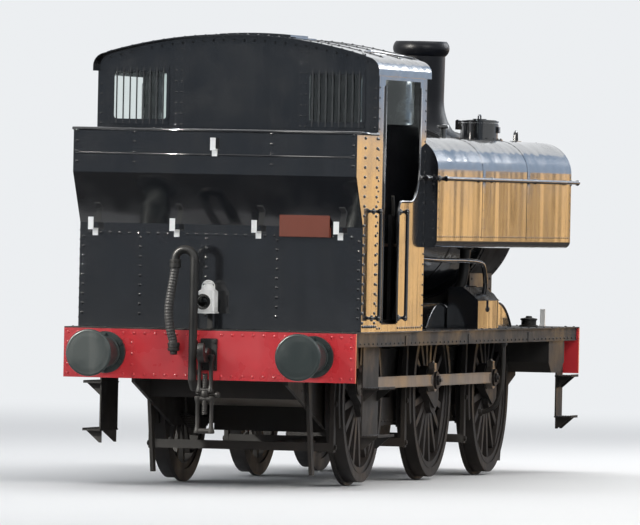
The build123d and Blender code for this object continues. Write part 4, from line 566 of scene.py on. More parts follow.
def makeHose(name, end, route):
    points, length = evenPoints(routeLine(name + "HoseLine", route), hoses["ribPitch"] / 4)
    radii = [hoses["radius"] - hoses["ribDepth"] * (1 - math.cos(index * math.pi / 2)) / 2
             for index in range(len(points))]
    shape = bmesh.new()
    addTube(shape, points, radii, 20)
    hose = bmeshPiece(name + "VacuumHose", shape, "hose_black", smooth=True)
    shape = bmesh.new()
    wide, long = hoses["cuffRadius"], hoses["cuffLength"]
    cuff = ((0, 0), (wide - 0.006, 0), (wide, 0.006), (wide, long * 0.3),
            (wide - 0.005, long * 0.36), (wide, long * 0.42), (wide, long - 0.006),
            (wide - 0.006, long), (0, long))
    for place, facing in ((route[0], downward), (route[-1], upward)):
        addLathe(shape, cuff, pointing(place, facing), 24)
    plug = Vector(route[-1])
    addLathe(shape, ((0, -0.03), (0.024, -0.03), (0.030, -0.02), (0.030, 0.0), (0, 0.0)),
             pointing(plug, upward), 20)
    addBlock(shape, (end * hoses["beamFace"], plug.y - 0.022, plug.z + 0.013),
             (plug.x, plug.y + 0.022, plug.z + 0.057), 0.006)
    for rise in (0.012, 0.052):
        addRing(shape, (plug.x, plug.y, plug.z + rise), wide - 0.002, wide + 0.004,
                (0, 0, 0.010), "XY")
    fittings = bmeshPiece(name + "HoseFittings", shape, "frame_paint")
    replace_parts(fittings, "vacuum_hoses")
    return hose


for name, end, route in hoses["routes"]:
    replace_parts(makeHose(name, end, route), "vacuum_hoses")
print("hoses hung")


# Rivets and nuts: points in rows, each with the way it faces, and a tree that sets heads on them

# A head is a flattened ball, or a stack of (corners, radius, height) for a nut on its stud.
def makeHeadTree(name, stack):
    tree, given, result = newTree(name, "GeometryNodeTree", {
        "Geometry": "Geometry", "Head radius": "Float", "Head height": "Float",
        "Finish": "Material",
    }, {"Geometry": "Geometry"})

    def addShape(kind, **inputs):
        return addNode(tree, "GeometryNode" + kind, inputs).outputs[0]

    heads = tree.nodes.new("GeometryNodeJoinGeometry")
    if not stack:
        feed(tree, heads, {"Geometry": addShape("MeshIcoSphere", Radius=1.0, Subdivisions=2)})
    for corners, radius, height in stack:
        feed(tree, heads, {"Geometry": addShape("MeshCylinder", Vertices=corners, Radius=radius,
                                                Depth=2 * height)})
    size = addNode(tree, "ShaderNodeCombineXYZ", {
        "X": given["Head radius"], "Y": given["Head radius"], "Z": given["Head height"],
    })
    head = addShape("Transform", Geometry=heads.outputs[0], Scale=size.outputs[0])
    head = addNode(tree, "GeometryNodeSetShadeSmooth",
                   {"Geometry": head, "Shade Smooth": not stack}).outputs[0]
    facing = addNode(tree, "GeometryNodeInputNamedAttribute", {"Name": "facing"},
                     data_type="FLOAT_VECTOR")
    turn = addNode(tree, "FunctionNodeAlignRotationToVector",
                   {"Vector": facing.outputs["Attribute"]}, axis="Z")
    placed = addShape("InstanceOnPoints", Instance=head, Points=given["Geometry"],
                      Rotation=turn.outputs["Rotation"])
    real = addShape("RealizeInstances", Geometry=placed)
    painted = addShape("SetMaterial", Geometry=real, Material=given["Finish"])
    feed(tree, result, {"Geometry": painted})
    return tree


rivetTree = makeHeadTree("rivetHeads", ())
nutTree = makeHeadTree("nutHeads", ((6, 1.0, 0.75), (10, 0.55, 1.0)))


# Rows are (start, end, pitch, facing), where both ends get a head, or (place, facing) for one.
def headPiece(tree, name, rows, radius, height, slotName):
    places = []
    facings = []
    for row in rows:
        start, end, pitch, facing = row if len(row) == 4 else (row[0], row[0], 1.0, row[1])
        start, end = Vector(start), Vector(end)
        count = max(1, round((end - start).length / pitch))
        for step in range(count + 1 if end != start else 1):
            places.append(start.lerp(end, step / count))
            facings.append(Vector(facing).normalized())
    mesh = bpy.data.meshes.new(name + "Points")
    mesh.from_pydata(places, [], [])
    attribute = mesh.attributes.new("facing", "FLOAT_VECTOR", "POINT")
    attribute.data.foreach_set("vector", [value for facing in facings for value in facing])
    points = linkObject(name + "Points", mesh)
    modifier = points.modifiers.new("heads", "NODES")
    modifier.node_group = tree
    given = {"Head radius": radius, "Head height": height, "Finish": finishes[slotName]}
    for item in tree.interface.items_tree:
        if item.in_out == "INPUT" and item.name in given:
            modifier[item.identifier] = given[item.name]
    heads = settled(points)
    heads.name = name
    bpy.data.objects.remove(points)
    return meshPiece(name, heads, slotName)


def rivetPiece(name, rows, radius, height, slotName="black_paint"):
    return headPiece(rivetTree, name, rows, radius, height, slotName)


def nutPiece(name, rows, radius, height, slotName="black_paint"):
    return headPiece(nutTree, name, rows, radius, height, slotName)


# The same points on the left side (1) or the right (-1).
def mirrored(points, side):
    return [Vector((x, side * y, z)) for x, y, z in points]


# The same rows of heads on both sides.
def bothSides(rows):
    flip = Vector((1, -1, 1))
    return rows + [[item if isinstance(item, float) else Vector(item) * flip for item in row]
                   for row in rows]


# The outline of a pin whose ends have their edges taken off.
def pinOutline(radius, half, chamfer=0.004):
    endRadius = radius - 0.004
    return ((0, -half), (endRadius, -half), (radius, chamfer - half),
            (radius, half - chamfer), (endRadius, half), (0, half))


def ballOutline(radius):
    turns = [math.radians(degrees) for degrees in range(0, 181, 20)]
    return [(radius * math.sin(turn), -radius * math.cos(turn)) for turn in turns]


# Rear end: beam rivets, buffer bolts, hooks with screw couplings, and the lamp

beam = {
    "faceX": 4.205, "rowHeights": (1.243, 0.909), "pitch": 0.083, "columnPitch": 0.090,
    "columns": (1.185, 0.645), "columnLow": 0.985, "columnHigh": 1.165,
    "spans": ((-1.185, -1.02), (-0.72, -0.10), (0.10, 0.72), (1.02, 1.185)),
    "rivet": (0.013, 0.010), "nut": (0.017, 0.020),
}
buffers = {
    "y": 0.870, "z": 1.083, "boltCircle": 0.147, "boltReach": 0.028, "middleReach": 0.545,
    "collars": ((0.060, 0.133), (0.290, 0.119)),
}
coupling = {
    "pivotReach": 0.115, "topZ": 1.065, "drop": 0.300, "upperHalf": 0.048, "lowerHalf": 0.058,
    "bar": 0.017, "pin": 0.022, "screw": 0.024, "screwHalf": 0.165, "threadPitch": 0.014,
    "hook": ((0.0, -0.040), (0.07, -0.040), (0.150, -0.062), (0.225, -0.058), (0.285, -0.020),
             (0.303, 0.040), (0.290, 0.080), (0.268, 0.094), (0.244, 0.078), (0.238, 0.035),
             (0.205, 0.005), (0.170, 0.012), (0.140, 0.055), (0.07, 0.042), (0.0, 0.042)),
    "hookHalf": 0.026, "plateHalf": (0.070, 0.130), "plateDepth": 0.020,
    # Way along a link and how much thicker it is there
    "swell": ((0, 0.010), (0.04, 0.012), (0.11, 0.006), (0.2, 0), (0.8, 0), (0.89, 0.006),
              (0.96, 0.012), (1, 0.010)),
}
rearLamp = {"place": (-4.080, 0.050, 1.414), "half": 0.068, "height": 0.190, "lensY": 0.070}


def makeBeamDetail():
    rows = []
    nuts = []
    shape = bmesh.new()
    for end in (-1, 1):
        x, facing = end * beam["faceX"], (end, 0, 0)
        for low, high in beam["spans"]:
            for z in beam["rowHeights"]:
                rows.append(((x, low, z), (x, high, z), beam["pitch"], facing))
        for side in (1, -1):
            for y in beam["columns"]:
                rows.append(((x, side * y, beam["columnLow"]), (x, side * y, beam["columnHigh"]),
                             beam["columnPitch"], facing))
            y, z = side * buffers["y"], buffers["z"]
            flange = (x + end * buffers["boltReach"], y, z)
            nuts += [(around(flange, buffers["boltCircle"], turn), facing)
                     for turn in range(30, 360, 60)]
            addLathe(shape, ((0, -0.004), (0.030, -0.004), (0.026, -0.001), (0, 0.0)),
                     pointing((x + end * buffers["middleReach"], y, z), facing), 20)
            for reach, radius in buffers["collars"]:
                middle = pointing((x + end * reach, y, z), facing)
                addLathe(shape, pinOutline(radius, 0.008), middle, 48)
    rivetPiece("beamRivets", rows, *beam["rivet"], "red_paint")
    nutPiece("bufferNuts", nuts, *beam["nut"], "buffer_steel")
    bmeshPiece("bufferCollars", shape, "buffer_steel", sharp=True)


def threadOutline(radius, half, pitch):
    outline = [(0, -half)]
    for step in range(int(2 * half / pitch)):
        height = -half + step * pitch
        outline += [(radius, height), (radius - 0.004, height + pitch * 0.5)]
    return outline + [(radius, half), (0, half)]


def makeCoupling(end, name):
    shape = bmesh.new()
    face = end * beam["faceX"]
    z = buffers["z"]
    wide, tall = coupling["plateHalf"]
    deep = face + end * coupling["plateDepth"]
    addBlock(shape, (face, -wide, z - tall), (deep, wide, z + tall), 0.006)
    for y in (-0.050, 0.050):
        for rise in (-0.105, 0.105):
            addNut(shape, (deep, y, z + rise), (end, 0, 0), 0.016, 0.014)
    hookHalf = coupling["hookHalf"]
    outline = smoothLoop([(face + end * reach, -hookHalf, z + rise)
                          for reach, rise in coupling["hook"]])
    addPrism(shape, outline, (0, 2 * hookHalf, 0))
    corners = [edge for edge in shape.edges if len(edge.link_faces) == 2
               and len(outline) in {len(hookFace.verts) for hookFace in edge.link_faces}]
    bmesh.ops.bevel(shape, geom=corners, offset=0.008, segments=2, affect="EDGES", profile=0.6)
    x = face + end * coupling["pivotReach"]
    top, bar = coupling["topZ"], coupling["bar"]
    middle = top - coupling["drop"]
    links = ((coupling["upperHalf"], top, middle + 0.030),
             (coupling["lowerHalf"], middle - 0.040, middle - coupling["drop"]))
    for half, high, low in links:
        for y in (-half, half):
            addTube(shape, [(x, y, high + 0.018 + (low - high - 0.036) * way)
                            for way, _ in coupling["swell"]],
                    [bar + more for _, more in coupling["swell"]], 14)
    for half, high, low in links:
        for height in (high, low):
            addLathe(shape, pinOutline(coupling["pin"], half + bar + 0.004),
                     pointing((x, 0, height), leftward), 18)
    screw = pointing((x, 0, middle), upward)
    addLathe(shape, threadOutline(coupling["screw"], coupling["screwHalf"],
                                  coupling["threadPitch"]), screw, 16)
    addLathe(shape, pinOutline(0.034, 0.024, 0.008), screw, 18)
    addTube(shape, [(x, 0.075, middle), (x, 0.02, middle), (x, -0.03, middle - 0.002),
                    (x, -0.085, middle - 0.004)], [0.009, 0.013, 0.011, 0.008], 12)
    addLathe(shape, ballOutline(0.024), pointing((x, -0.106, middle - 0.005), leftward), 16)
    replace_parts(bmeshPiece(name, shape, "frame_paint", smooth=True, sharp=True), "couplings")


def makeLampPiece():
    shape = bmesh.new()
    x, y, z = rearLamp["place"]
    half, top = rearLamp["half"], z + rearLamp["height"]
    addBlock(shape, (x - half, y - half, z + 0.006), (x + half, y + half, top), 0.012)
    foot = half + 0.006
    addBlock(shape, (x - foot, y - foot, z), (x + foot, y + foot, z + 0.014), 0.004)
    addLathe(shape, ((0, 0), (0.062, 0), (0.058, 0.012), (0.044, 0.036), (0.036, 0.044),
                     (0.036, 0.052), (0.044, 0.056), (0.044, 0.064), (0.020, 0.074), (0, 0.076)),
             pointing((x, y, top - 0.002), upward), 28)
    for side in (1, -1):
        cheek = y + side * (half + 0.004)
        addBlock(shape, (x - 0.020, cheek - 0.004, z + 0.05), (x + 0.020, cheek + 0.004, z + 0.15))
    addTube(shape, [(x, y - 0.052, top + 0.004),
                    *arcPoints((x, y, top + 0.026), 0.052, 180, 0, 12, "YZ"),
                    (x, y + 0.052, top + 0.004)], 0.0045, 8)
    lensX, lensY, lensZ = x - half, rearLamp["lensY"], z + 0.095
    lensPlace = pointing((lensX, lensY, lensZ), backward)
    addLathe(shape, ((0.046, 0.0), (0.058, 0.0), (0.062, 0.008), (0.062, 0.030), (0.057, 0.034),
                     (0.048, 0.034), (0.046, 0.026), (0.046, 0.0)), lensPlace, 36)
    lamp = bmeshPiece("rearLampBody", shape, "lamp_white", sharp=True)
    shape = bmesh.new()
    addLathe(shape, ((0, 0.006), (0.050, 0.006), (0.047, 0.016), (0.034, 0.025), (0.016, 0.030),
                     (0, 0.031)), lensPlace, 36)
    lens = bmeshPiece("rearLampLens", shape, "glass", finish=lensGlass, smooth=True)
    shape = bmesh.new()
    addRing(shape, (lensX - 0.038, lensY, lensZ), 0.047, 0.064, (0.008, 0, 0), "YZ", 36)
    socket = x + half
    addBlock(shape, (socket + 0.004, y - 0.022, 1.290), (socket + 0.014, y + 0.022, z + 0.110))
    addBlock(shape, (socket - 0.03, y - 0.022, 1.287), (socket + 0.06, y + 0.022, 1.297))
    rim = bmeshPiece("rearLampFittings", shape, "frame_paint")
    for piece in (lamp, lens, rim):
        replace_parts(piece, "tail_lamp")


makeBeamDetail()
makeCoupling(-1, "rearCoupling")
makeCoupling(1, "frontCoupling")
makeLampPiece()
print("ends dressed")


# Bunker: rivets, beading and a blank plate

bunker = {
    "panelX": -3.895, "upperX": -4.155, "columns": (0.675, 0.12, -0.474), "pitch": 0.08,
    "columnLow": 1.40, "columnHigh": 2.02, "rowZ": 2.055, "upperLow": 2.63, "upperHigh": 2.88,
    "rivet": (0.014, 0.011), "frontX": -3.44, "lineZ": 2.70, "plateY": (-0.92, -0.50),
}


def makeBunkerRivets():
    low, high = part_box("bunker")
    edge = high.y - 0.03
    x, pitch = bunker["panelX"], bunker["pitch"]
    columns = bunker["columns"]
    rows = [((x, y, bunker["columnLow"]), (x, y, bunker["columnHigh"]), pitch, backward)
            for y in (*columns, edge, -edge)]
    upper = bunker["upperX"]
    rows += [((upper, y, bunker["upperLow"]), (upper, y, bunker["upperHigh"]), pitch, backward)
             for y in (columns[0], columns[2], edge, -edge)]
    rows.append(((x, 0.06 - edge, bunker["rowZ"]), (x, edge - 0.06, bunker["rowZ"]), pitch,
                 backward))
    for face, way in ((low.y, rightward), (high.y, leftward)):
        for column in (x + 0.03, -3.45):
            rows.append(((column, face, 1.36), (column, face, 2.86), pitch, way))
        rows.append(((-3.84, face, 1.33), (-3.46, face, 1.33), pitch, way))
    rivetPiece("bunkerRivets", rows, *bunker["rivet"])


def makeBunkerBeading():
    low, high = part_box("bunker")
    shape = bmesh.new()
    rear, right, left, top = low.x - 0.002, low.y - 0.002, high.y + 0.002, high.z - 0.012
    addTube(shape, [(bunker["frontX"], right, top), (rear, right, top), (rear, left, top),
                    (bunker["frontX"], left, top)], 0.014)
    addTube(shape, [(low.x - 0.001, low.y + 0.02, bunker["lineZ"]),
                    (low.x - 0.001, high.y - 0.02, bunker["lineZ"])], 0.009)
    bmeshPiece("bunkerBeading", shape, smooth=True)


def makeBlankPlate():
    shape = bmesh.new()
    x = bunker["panelX"]
    right, left = bunker["plateY"]
    addBlock(shape, (x - 0.012, right, 2.05), (x, left, 2.13), 0.003)
    addBlock(shape, (x - 0.058, right, 2.05), (x - 0.046, left, 2.28), 0.003)
    for y in (right + 0.06, left - 0.06):
        addBlock(shape, (x - 0.048, y - 0.015, 2.06), (x - 0.010, y + 0.015, 2.12))
    bmeshPiece("blankPlate", shape, finish=plateBrown)


makeBunkerRivets()
makeBunkerBeading()
makeBlankPlate()
print("bunker dressed")


# Cab: window rims, strips, rivets, roof ribs, beading round the side openings

cab = {
    "backX": -3.424, "frontX": -1.728, "out": 1.186, "rowPitch": 0.085, "rivet": (0.010, 0.007),
    "windows": ((-3.424, -1, 0.600, 1.050, 2.984, 3.384), (-1.728, 1, 0.620, 1.080, 2.989, 3.389)),
    "strips": (0.50, -0.55), "bunkerTop": 2.909, "columnY": 1.155, "doorFace": -3.172,
}
roof = {"apex": 3.689, "radius": 3.840, "backX": -3.524, "frontX": -1.650, "ribHalf": 1.09,
        "rivet": (0.009, 0.006), "hatch": (-2.95, -2.25)}
opening = {"front": -1.960, "back": -3.204, "doorFront": -2.674, "floor": 1.356, "waist": 2.354,
           "top": 3.296, "waistRadius": 0.300, "corner": 0.090}


def roofHeight(y):
    return roof["apex"] - roof["radius"] + math.sqrt(roof["radius"] ** 2 - y ** 2)


# Points across the roof, a little above it or below it.
def archPoints(x, lift, half, steps=28):
    places = [-half + 2 * half * step / steps for step in range(steps + 1)]
    return [(x, y, roofHeight(y) + lift) for y in places]


def makeWindowRims():
    shape = bmesh.new()
    for x, end, inner, outer, low, high in cab["windows"]:
        corners = ((outer - 0.03, high - 0.03, 0), (inner + 0.03, high - 0.03, 90),
                   (inner + 0.03, low + 0.03, 180), (outer - 0.03, low + 0.03, 270))
        for side in (1, -1):
            rims = [mirrored([point for y, z, turn in corners for point in
                              arcPoints((x, y, z), radius, turn, turn + 90, 4, "YZ")], side)
                    for radius in (0.026, 0.050)]
            addStrip(shape, *rims, (end * 0.010, 0, 0), closed=True)
    bmeshPiece("windowRims", shape)


def makeCabRivets():
    back, front, pitch = cab["backX"], cab["frontX"], cab["rowPitch"]
    rows = []
    for strip in cab["strips"]:
        for y in (strip - 0.022, strip + 0.022):
            rows.append(((back, y, cab["bunkerTop"] + 0.04), (back, y, roofHeight(strip) - 0.09),
                         pitch, backward))
    for x, way, low in ((back, backward, 2.95), (front, forward, 2.90)):
        rows += [(place, way) for place in archPoints(x, -0.045, 1.08, 25)]
        for side in (1, -1):
            y = side * cab["columnY"]
            rows.append(((x, y, low), (x, y, 3.27), pitch, way))
    for side, way in sides:
        y = side * cab["out"]
        for x in (back + 0.03, front - 0.03):
            rows.append(((x, y, 1.33), (x, y, 3.28), pitch, way))
        for start, end in ((back + 0.08, -3.26), (-2.62, front - 0.08)):
            rows.append(((start, y, 1.315), (end, y, 1.315), pitch, way))
    rivetPiece("cabRivets", rows, *cab["rivet"])


def makeCabStrips():
    shape = bmesh.new()
    back = cab["backX"]
    for y in cab["strips"]:
        addBlock(shape, (back - 0.004, y - 0.04, cab["bunkerTop"] + 0.005),
                 (back, y + 0.04, roofHeight(y) - 0.05), 0.001)
    bmeshPiece("cabStrips", shape)


def makeOpeningBeading():
    shape = bmesh.new()
    y = cab["out"] + 0.001
    door, corner, radius = opening["doorFront"], opening["corner"], opening["waistRadius"]
    waist, front, back = opening["waist"], opening["front"], opening["back"]
    frontEdge = [
        (door, y, opening["floor"]), (door, y, waist - corner),
        *arcPoints((door + corner, y, waist - corner), corner, 180, 90, 5),
        *arcPoints((front - radius, y, waist + radius), radius, 270, 360, 8),
        (front, y, opening["top"]),
    ]
    backEdge = [(back, y, opening["floor"]), (back, y, opening["top"])]
    for side in (1, -1):
        for edge in (frontEdge, backEdge):
            addTube(shape, mirrored(edge, side), 0.012)
    bmeshPiece("openingBeading", shape, smooth=True)


def makeRoofDetail():
    rear, front = roof["backX"], roof["frontX"]
    shape = bmesh.new()
    for x in (rear + 0.004, rear + 0.62, rear + 1.24, front - 0.054):
        addStrip(shape, archPoints(x, -0.006, roof["ribHalf"]),
                 archPoints(x, 0.004, roof["ribHalf"]), (0.050, 0, 0))
    for side in (1, -1):
        line = []
        for step in range(13):
            x = rear + 0.10 + (front - rear - 0.20) * step / 12
            y = side * (1.06 - 0.16 * (1 - (2 * step / 12 - 1) ** 2))
            line.append((x, y, roofHeight(y) + 0.004))
        addTube(shape, line, 0.008, 8)
    hatchRear, hatchFront = roof["hatch"]
    for half, lift, rise, inset in ((0.36, -0.004, 0.012, 0.0), (0.30, 0.010, 0.028, 0.05)):
        x = hatchRear + inset
        addStrip(shape, archPoints(x, lift, half, 8), archPoints(x, rise, half, 8),
                 (hatchFront - inset - x, 0, 0))
    bmeshPiece("roofDetail", shape)
    rivetPiece("roofRivets", [
        (place, (0, place[1] / roof["radius"], 1))
        for x in (rear + 0.029, rear + 0.645, rear + 1.265, front - 0.029)
        for place in archPoints(x, 0.004, 1.06, 24)], *roof["rivet"])


def makeDoorDetail():
    face = cab["doorFace"]
    for side, name in ((1, "cab_door_left"), (-1, "cab_door_right")):
        low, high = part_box(name)
        shape = bmesh.new()
        near, far = (0.02, 0.07) if side > 0 else (0.07, 0.02)
        right, left = low.y + near, high.y - far
        for x in (face - 0.023, face):
            for z in (low.z + 0.03, high.z - 0.07):
                addBlock(shape, (x, right, z), (x + 0.003, left, z + 0.04), 0.001)
            for y in (right, left - 0.04):
                addBlock(shape, (x, y, low.z + 0.03), (x + 0.003, y + 0.04, high.z - 0.03), 0.001)
        bmeshPiece(name + "Frame", shape, body=name)
        grip = bmesh.new()
        y = low.y + 0.16 if side > 0 else high.y - 0.16
        addTube(grip, [(face + reach, y, high.z - drop) for reach, drop in (
            (0, 0.16), (0.022, 0.16), (0.030, 0.18), (0.030, 0.26), (0.022, 0.28), (0, 0.28))],
            0.007, 8)
        bmeshPiece(name + "Handle", grip, "brass", name, smooth=True)


makeWindowRims()
makeCabRivets()
makeCabStrips()
makeOpeningBeading()
makeRoofDetail()
makeDoorDetail()
print("cab dressed")


# Tanks, boiler and smokebox: seams, rivets, lugs, bands and knobs

tank = {
    "out": 1.295, "rearX": -1.728, "frontX": 3.396, "low": 1.979, "top": 2.899, "corner": 0.270,
    "seams": (-0.02, 1.69), "pitch": 0.075, "rivet": (0.008, 0.0045), "lugs": (-0.95, 2.90),
    "lugY": 0.90, "vent": (0.62, 0.78), "step": (-0.78, 0.80), "fillerX": 1.696, "fillerY": 0.850,
    "fillerTop": 3.049,
}
barrel = {"z": 2.253, "radius": 0.720, "bands": (-0.52, 0.50, 1.50, 2.49), "bandWidth": 0.050,
          "fireboxBands": (-0.640, -1.150, -1.680), "washouts": (-0.88, -1.42)}
smokebox = {"radius": 0.755, "rear": 2.568, "front": 3.646, "rivet": (0.011, 0.008),
            "rimCircle": 0.728, "chimneyX": 3.060, "chimneyCircle": 0.385, "grip": 0.678}


# The outside of a tank, from its inner top edge over the corner and down to the bottom.
def tankSection(x, side, lift):
    out, top, reach = tank["out"] + lift, tank["top"] + lift, tank["corner"] + lift
    return mirrored([(x, 0.560, top), (x, 0.790, top),
                     *arcPoints((x, out - reach, top - reach), reach, 90, 0, 8, "YZ"),
                     (x, out, 2.30), (x, out, tank["low"] + 0.07)], side)


def makeTankRivets():
    rear, front, top, pitch, y = (tank[key] for key in ("rearX", "frontX", "top", "pitch", "out"))
    low, high = tank["low"] + 0.09, 2.60
    lines = [rear + 0.035, front - 0.035]
    lines += [seam + shift for seam in tank["seams"] for shift in (-0.030, 0.030)]
    rows = [((x, y, low), (x, y, high), pitch, leftward) for x in lines]
    rows += [((x, 0.60, top), (x, 0.98, top), pitch, upward) for x in lines]
    rows.append(((rear + 0.11, y, low), (front - 0.11, y, low), pitch, leftward))
    for x, facing in ((rear, backward), (front, forward)):
        rows.append(((x, 1.255, 2.06), (x, 1.255, 2.58), pitch, facing))
        rows.append(((x, 0.60, 2.865), (x, 1.00, 2.865), pitch, facing))
    rows += [(place, forward)
             for place in arcPoints((front, 1.025, 2.629), 0.235, 15, 75, 4, "YZ")]
    rivetPiece("tankRivets", bothSides(rows), *tank["rivet"])


def makeTankDetail():
    shape = bmesh.new()
    top = tank["top"]
    for side in (1, -1):
        for seam in tank["seams"]:
            addStrip(shape, tankSection(seam - 0.050, side, -0.001),
                     tankSection(seam - 0.050, side, 0.0025), (0.100, 0, 0))
        y = side * tank["lugY"]
        for x in tank["lugs"]:
            addTube(shape, [(x - 0.05, y, top - 0.004), (x - 0.035, y, top + 0.055),
                            *arcPoints((x, y, top + 0.055), 0.035, 180, 0, 8)[1:],
                            (x + 0.05, y, top - 0.004)], 0.013)
            addBlock(shape, (x - 0.08, y - 0.035, top - 0.001), (x + 0.08, y + 0.035, top + 0.010),
                     0.003)
        x, y = tank["vent"]
        addLathe(shape, ((0, 0), (0.055, 0), (0.055, 0.008), (0.030, 0.012), (0.028, 0.085),
                         (0.048, 0.090), (0.052, 0.100), (0.044, 0.118), (0, 0.126)),
                 pointing((x, side * y, top), upward), 24)
        x, y = tank["step"][0], side * tank["step"][1]
        addBlock(shape, (x - 0.17, y - 0.10, top - 0.001), (x + 0.17, y + 0.10, top + 0.012), 0.003)
        addBlock(shape, (x - 0.13, y - 0.075, top + 0.010), (x + 0.13, y + 0.075, top + 0.085),
                 0.010)
    bmeshPiece("tankDetail", shape, sharp=True)


def makeFillerDetail():
    for side, lid in ((1, "filler_lid_left"), (-1, "filler_lid_right")):
        x, y, top = tank["fillerX"], side * tank["fillerY"], tank["fillerTop"]
        shape = bmesh.new()
        addRing(shape, (x, y, tank["top"] - 0.001), 0.155, 0.205, (0, 0, 0.012), "XY", 40)
        addRing(shape, (x, y, top - 0.030), 0.158, 0.168, (0, 0, 0.020), "XY", 40)
        addBlock(shape, (x - 0.03, y + side * 0.155, top - 0.085),
                 (x + 0.03, y + side * 0.180, top - 0.030), 0.004)
        bmeshPiece("fillerNeckDetail" + str(side), shape, sharp=True)
        flange = (x, y, tank["top"] + 0.011)
        nutPiece("fillerBolts" + str(side), [
            (around(flange, 0.186, turn, "XY"), upward) for turn in range(0, 360, 36)],
            0.010, 0.009)
        shape = bmesh.new()
        face = top + 0.018
        addRing(shape, (x, y, face - 0.001), 0.140, 0.152, (0, 0, 0.004), "XY", 40)
        for turn in (60, 180, 300):
            addTube(shape, [around((x, y, face + 0.006), 0.058, turn, "XY"),
                            around((x, y, face + 0.002), 0.150, turn, "XY")], 0.006, 8)
        addTube(shape, [(x + reach, y, face + rise) for reach, rise in (
            (-0.045, 0.015), (-0.045, 0.040), (-0.030, 0.052), (0.030, 0.052), (0.045, 0.040),
            (0.045, 0.015))], 0.007, 8)
        bmeshPiece("fillerLidDetail" + str(side), shape, body=lid, sharp=True)


# A line over the firebox from side to side.
def fireboxSection(x, lift):
    out, shoulder = 0.752 + lift, 2.849
    return [
        (x, -out, 1.95), (x, -out, shoulder),
        *arcPoints((x, -0.622, shoulder), 0.130 + lift, 180, 90, 8, "YZ"),
        *arcPoints((x, 0.622, shoulder), 0.130 + lift, 90, 0, 8, "YZ"),
        (x, out, shoulder), (x, out, 1.95),
    ]


def makeBoilerBands():
    shape = bmesh.new()
    wide, radius = barrel["bandWidth"], barrel["radius"]
    for x in barrel["bands"]:
        addRing(shape, (x - wide / 2, 0, barrel["z"]), radius - 0.002, radius + 0.005,
                (wide, 0, 0), "YZ", 96)
    for x in barrel["fireboxBands"]:
        addStrip(shape, fireboxSection(x, -0.002), fireboxSection(x, 0.005), (wide, 0, 0))
    for x in barrel["washouts"]:
        for side in (1, -1):
            addLathe(shape, ((0, -0.002), (0.065, -0.002), (0.065, 0.006), (0.045, 0.012),
                             (0.030, 0.026), (0, 0.028)),
                     pointing((x, side * 0.50, 2.979), upward), 24)
    addRing(shape, (1.346, 0, 3.045), 0.321, 0.327, (0, 0, 0.016), "XY", 72)
    bmeshPiece("boilerBands", shape, sharp=True)


def makeSmokeboxRivets():
    z, radius = barrel["z"], smokebox["radius"]
    rear, front = smokebox["rear"], smokebox["front"]
    rows = []
    for step in range(56):
        turn = -60 + 300 * step / 55
        for x in (rear + 0.035, front - 0.055):
            place = around((x, 0, z), radius, turn)
            underChimney = abs(place.y) < 0.13 and x > 3 and place.z > z
            if not underChimney:
                rows.append((place, around((0, 0, 0), 1, turn)))
    rows += [(around((front, 0, z), smokebox["rimCircle"], 360 * step / 54), forward)
             for step in range(54)]
    for turn in range(0, 360, 30):
        place = around((smokebox["chimneyX"], 0, 0), smokebox["chimneyCircle"], turn, "XY")
        rise = math.sqrt(radius ** 2 - place.y ** 2)
        rows.append(((place.x, place.y, z + rise), (0, place.y / radius, rise / radius)))
    for side, way in sides:
        y = side * 0.560
        for start, end in (((2.78, 1.35), (2.78, 1.70)), ((3.48, 1.35), (3.48, 1.70)),
                           ((2.80, 1.33), (3.46, 1.33))):
            rows.append(((start[0], y, start[1]), (end[0], y, end[1]), 0.08, way))
    rivetPiece("smokeboxRivets", rows, *smokebox["rivet"], "smokebox_paint")


def makeSmokeboxDetail():
    z, radius, grip = barrel["z"], smokebox["radius"], smokebox["grip"]
    rear, front = smokebox["rear"], smokebox["front"]
    shape = bmesh.new()
    addRing(shape, (rear + 0.070, 0, z), radius - 0.003, radius + 0.005, (0.050, 0, 0), "YZ", 96)
    addRing(shape, (front - 0.001, 0, z), 0.600, 0.640, (0.010, 0, 0), "YZ", 96)
    addTube(shape, arcPoints((front + 0.060, 0, z), grip, 38, 142, 30, "YZ"), 0.014, 12)
    for turn in (42, 90, 138):
        addLathe(shape, ((0, 0), (0.022, 0), (0.022, 0.006), (0.010, 0.012), (0.010, 0.040),
                         (0.019, 0.048), (0.023, 0.060), (0.019, 0.072), (0, 0.080)),
                 pointing(around((front, 0, z), grip, turn), forward), 16)
    bmeshPiece("smokeboxDetail", shape, "smokebox_paint", sharp=True)
    shape = bmesh.new()
    doorFace = front + 0.003
    for turn in range(15, 360, 30):
        x, y, height = around((doorFace + 0.040, 0, z), 0.570, turn)
        addBlock(shape, (x - 0.012, y - 0.013, height - 0.013),
                 (x + 0.010, y + 0.013, height + 0.013), 0.003)
    for drop in (-0.040, 0.020):
        addLathe(shape, ballOutline(0.017), pointing((doorFace + 0.165, 0.190, z + drop), leftward),
                 14)
    bmeshPiece("smokeboxDoorDetail", shape, "smokebox_paint", "smokebox_door", sharp=True)


knobs = {
    "profile": ((0, 0), (0.026, 0), (0.026, 0.006), (0.013, 0.012), (0.012, 0.036), (0.020, 0.043),
                (0.026, 0.058), (0.022, 0.070), (0.013, 0.0765), (0, 0.0778)),
    "places": [(x, 1.295, 2.554) for x in (-1.678, 0.008, 1.695, 3.381)]
    + [(x, 1.186, 2.554) for x in (-1.915, -1.803)]
    + [(x, 1.186, z) for x in (-3.540, -2.600) for z in (1.399, 2.269)],
}


def makeKnobs():
    shape = bmesh.new()
    for side, way in sides:
        for place in mirrored(knobs["places"], side):
            addLathe(shape, knobs["profile"], pointing(place, way), 18)
    bmeshPiece("railKnobs", shape, smooth=True)


makeTankRivets()
makeTankDetail()
makeFillerDetail()
makeBoilerBands()
makeSmokeboxRivets()
makeSmokeboxDetail()
makeKnobs()
print("tanks and boiler dressed")


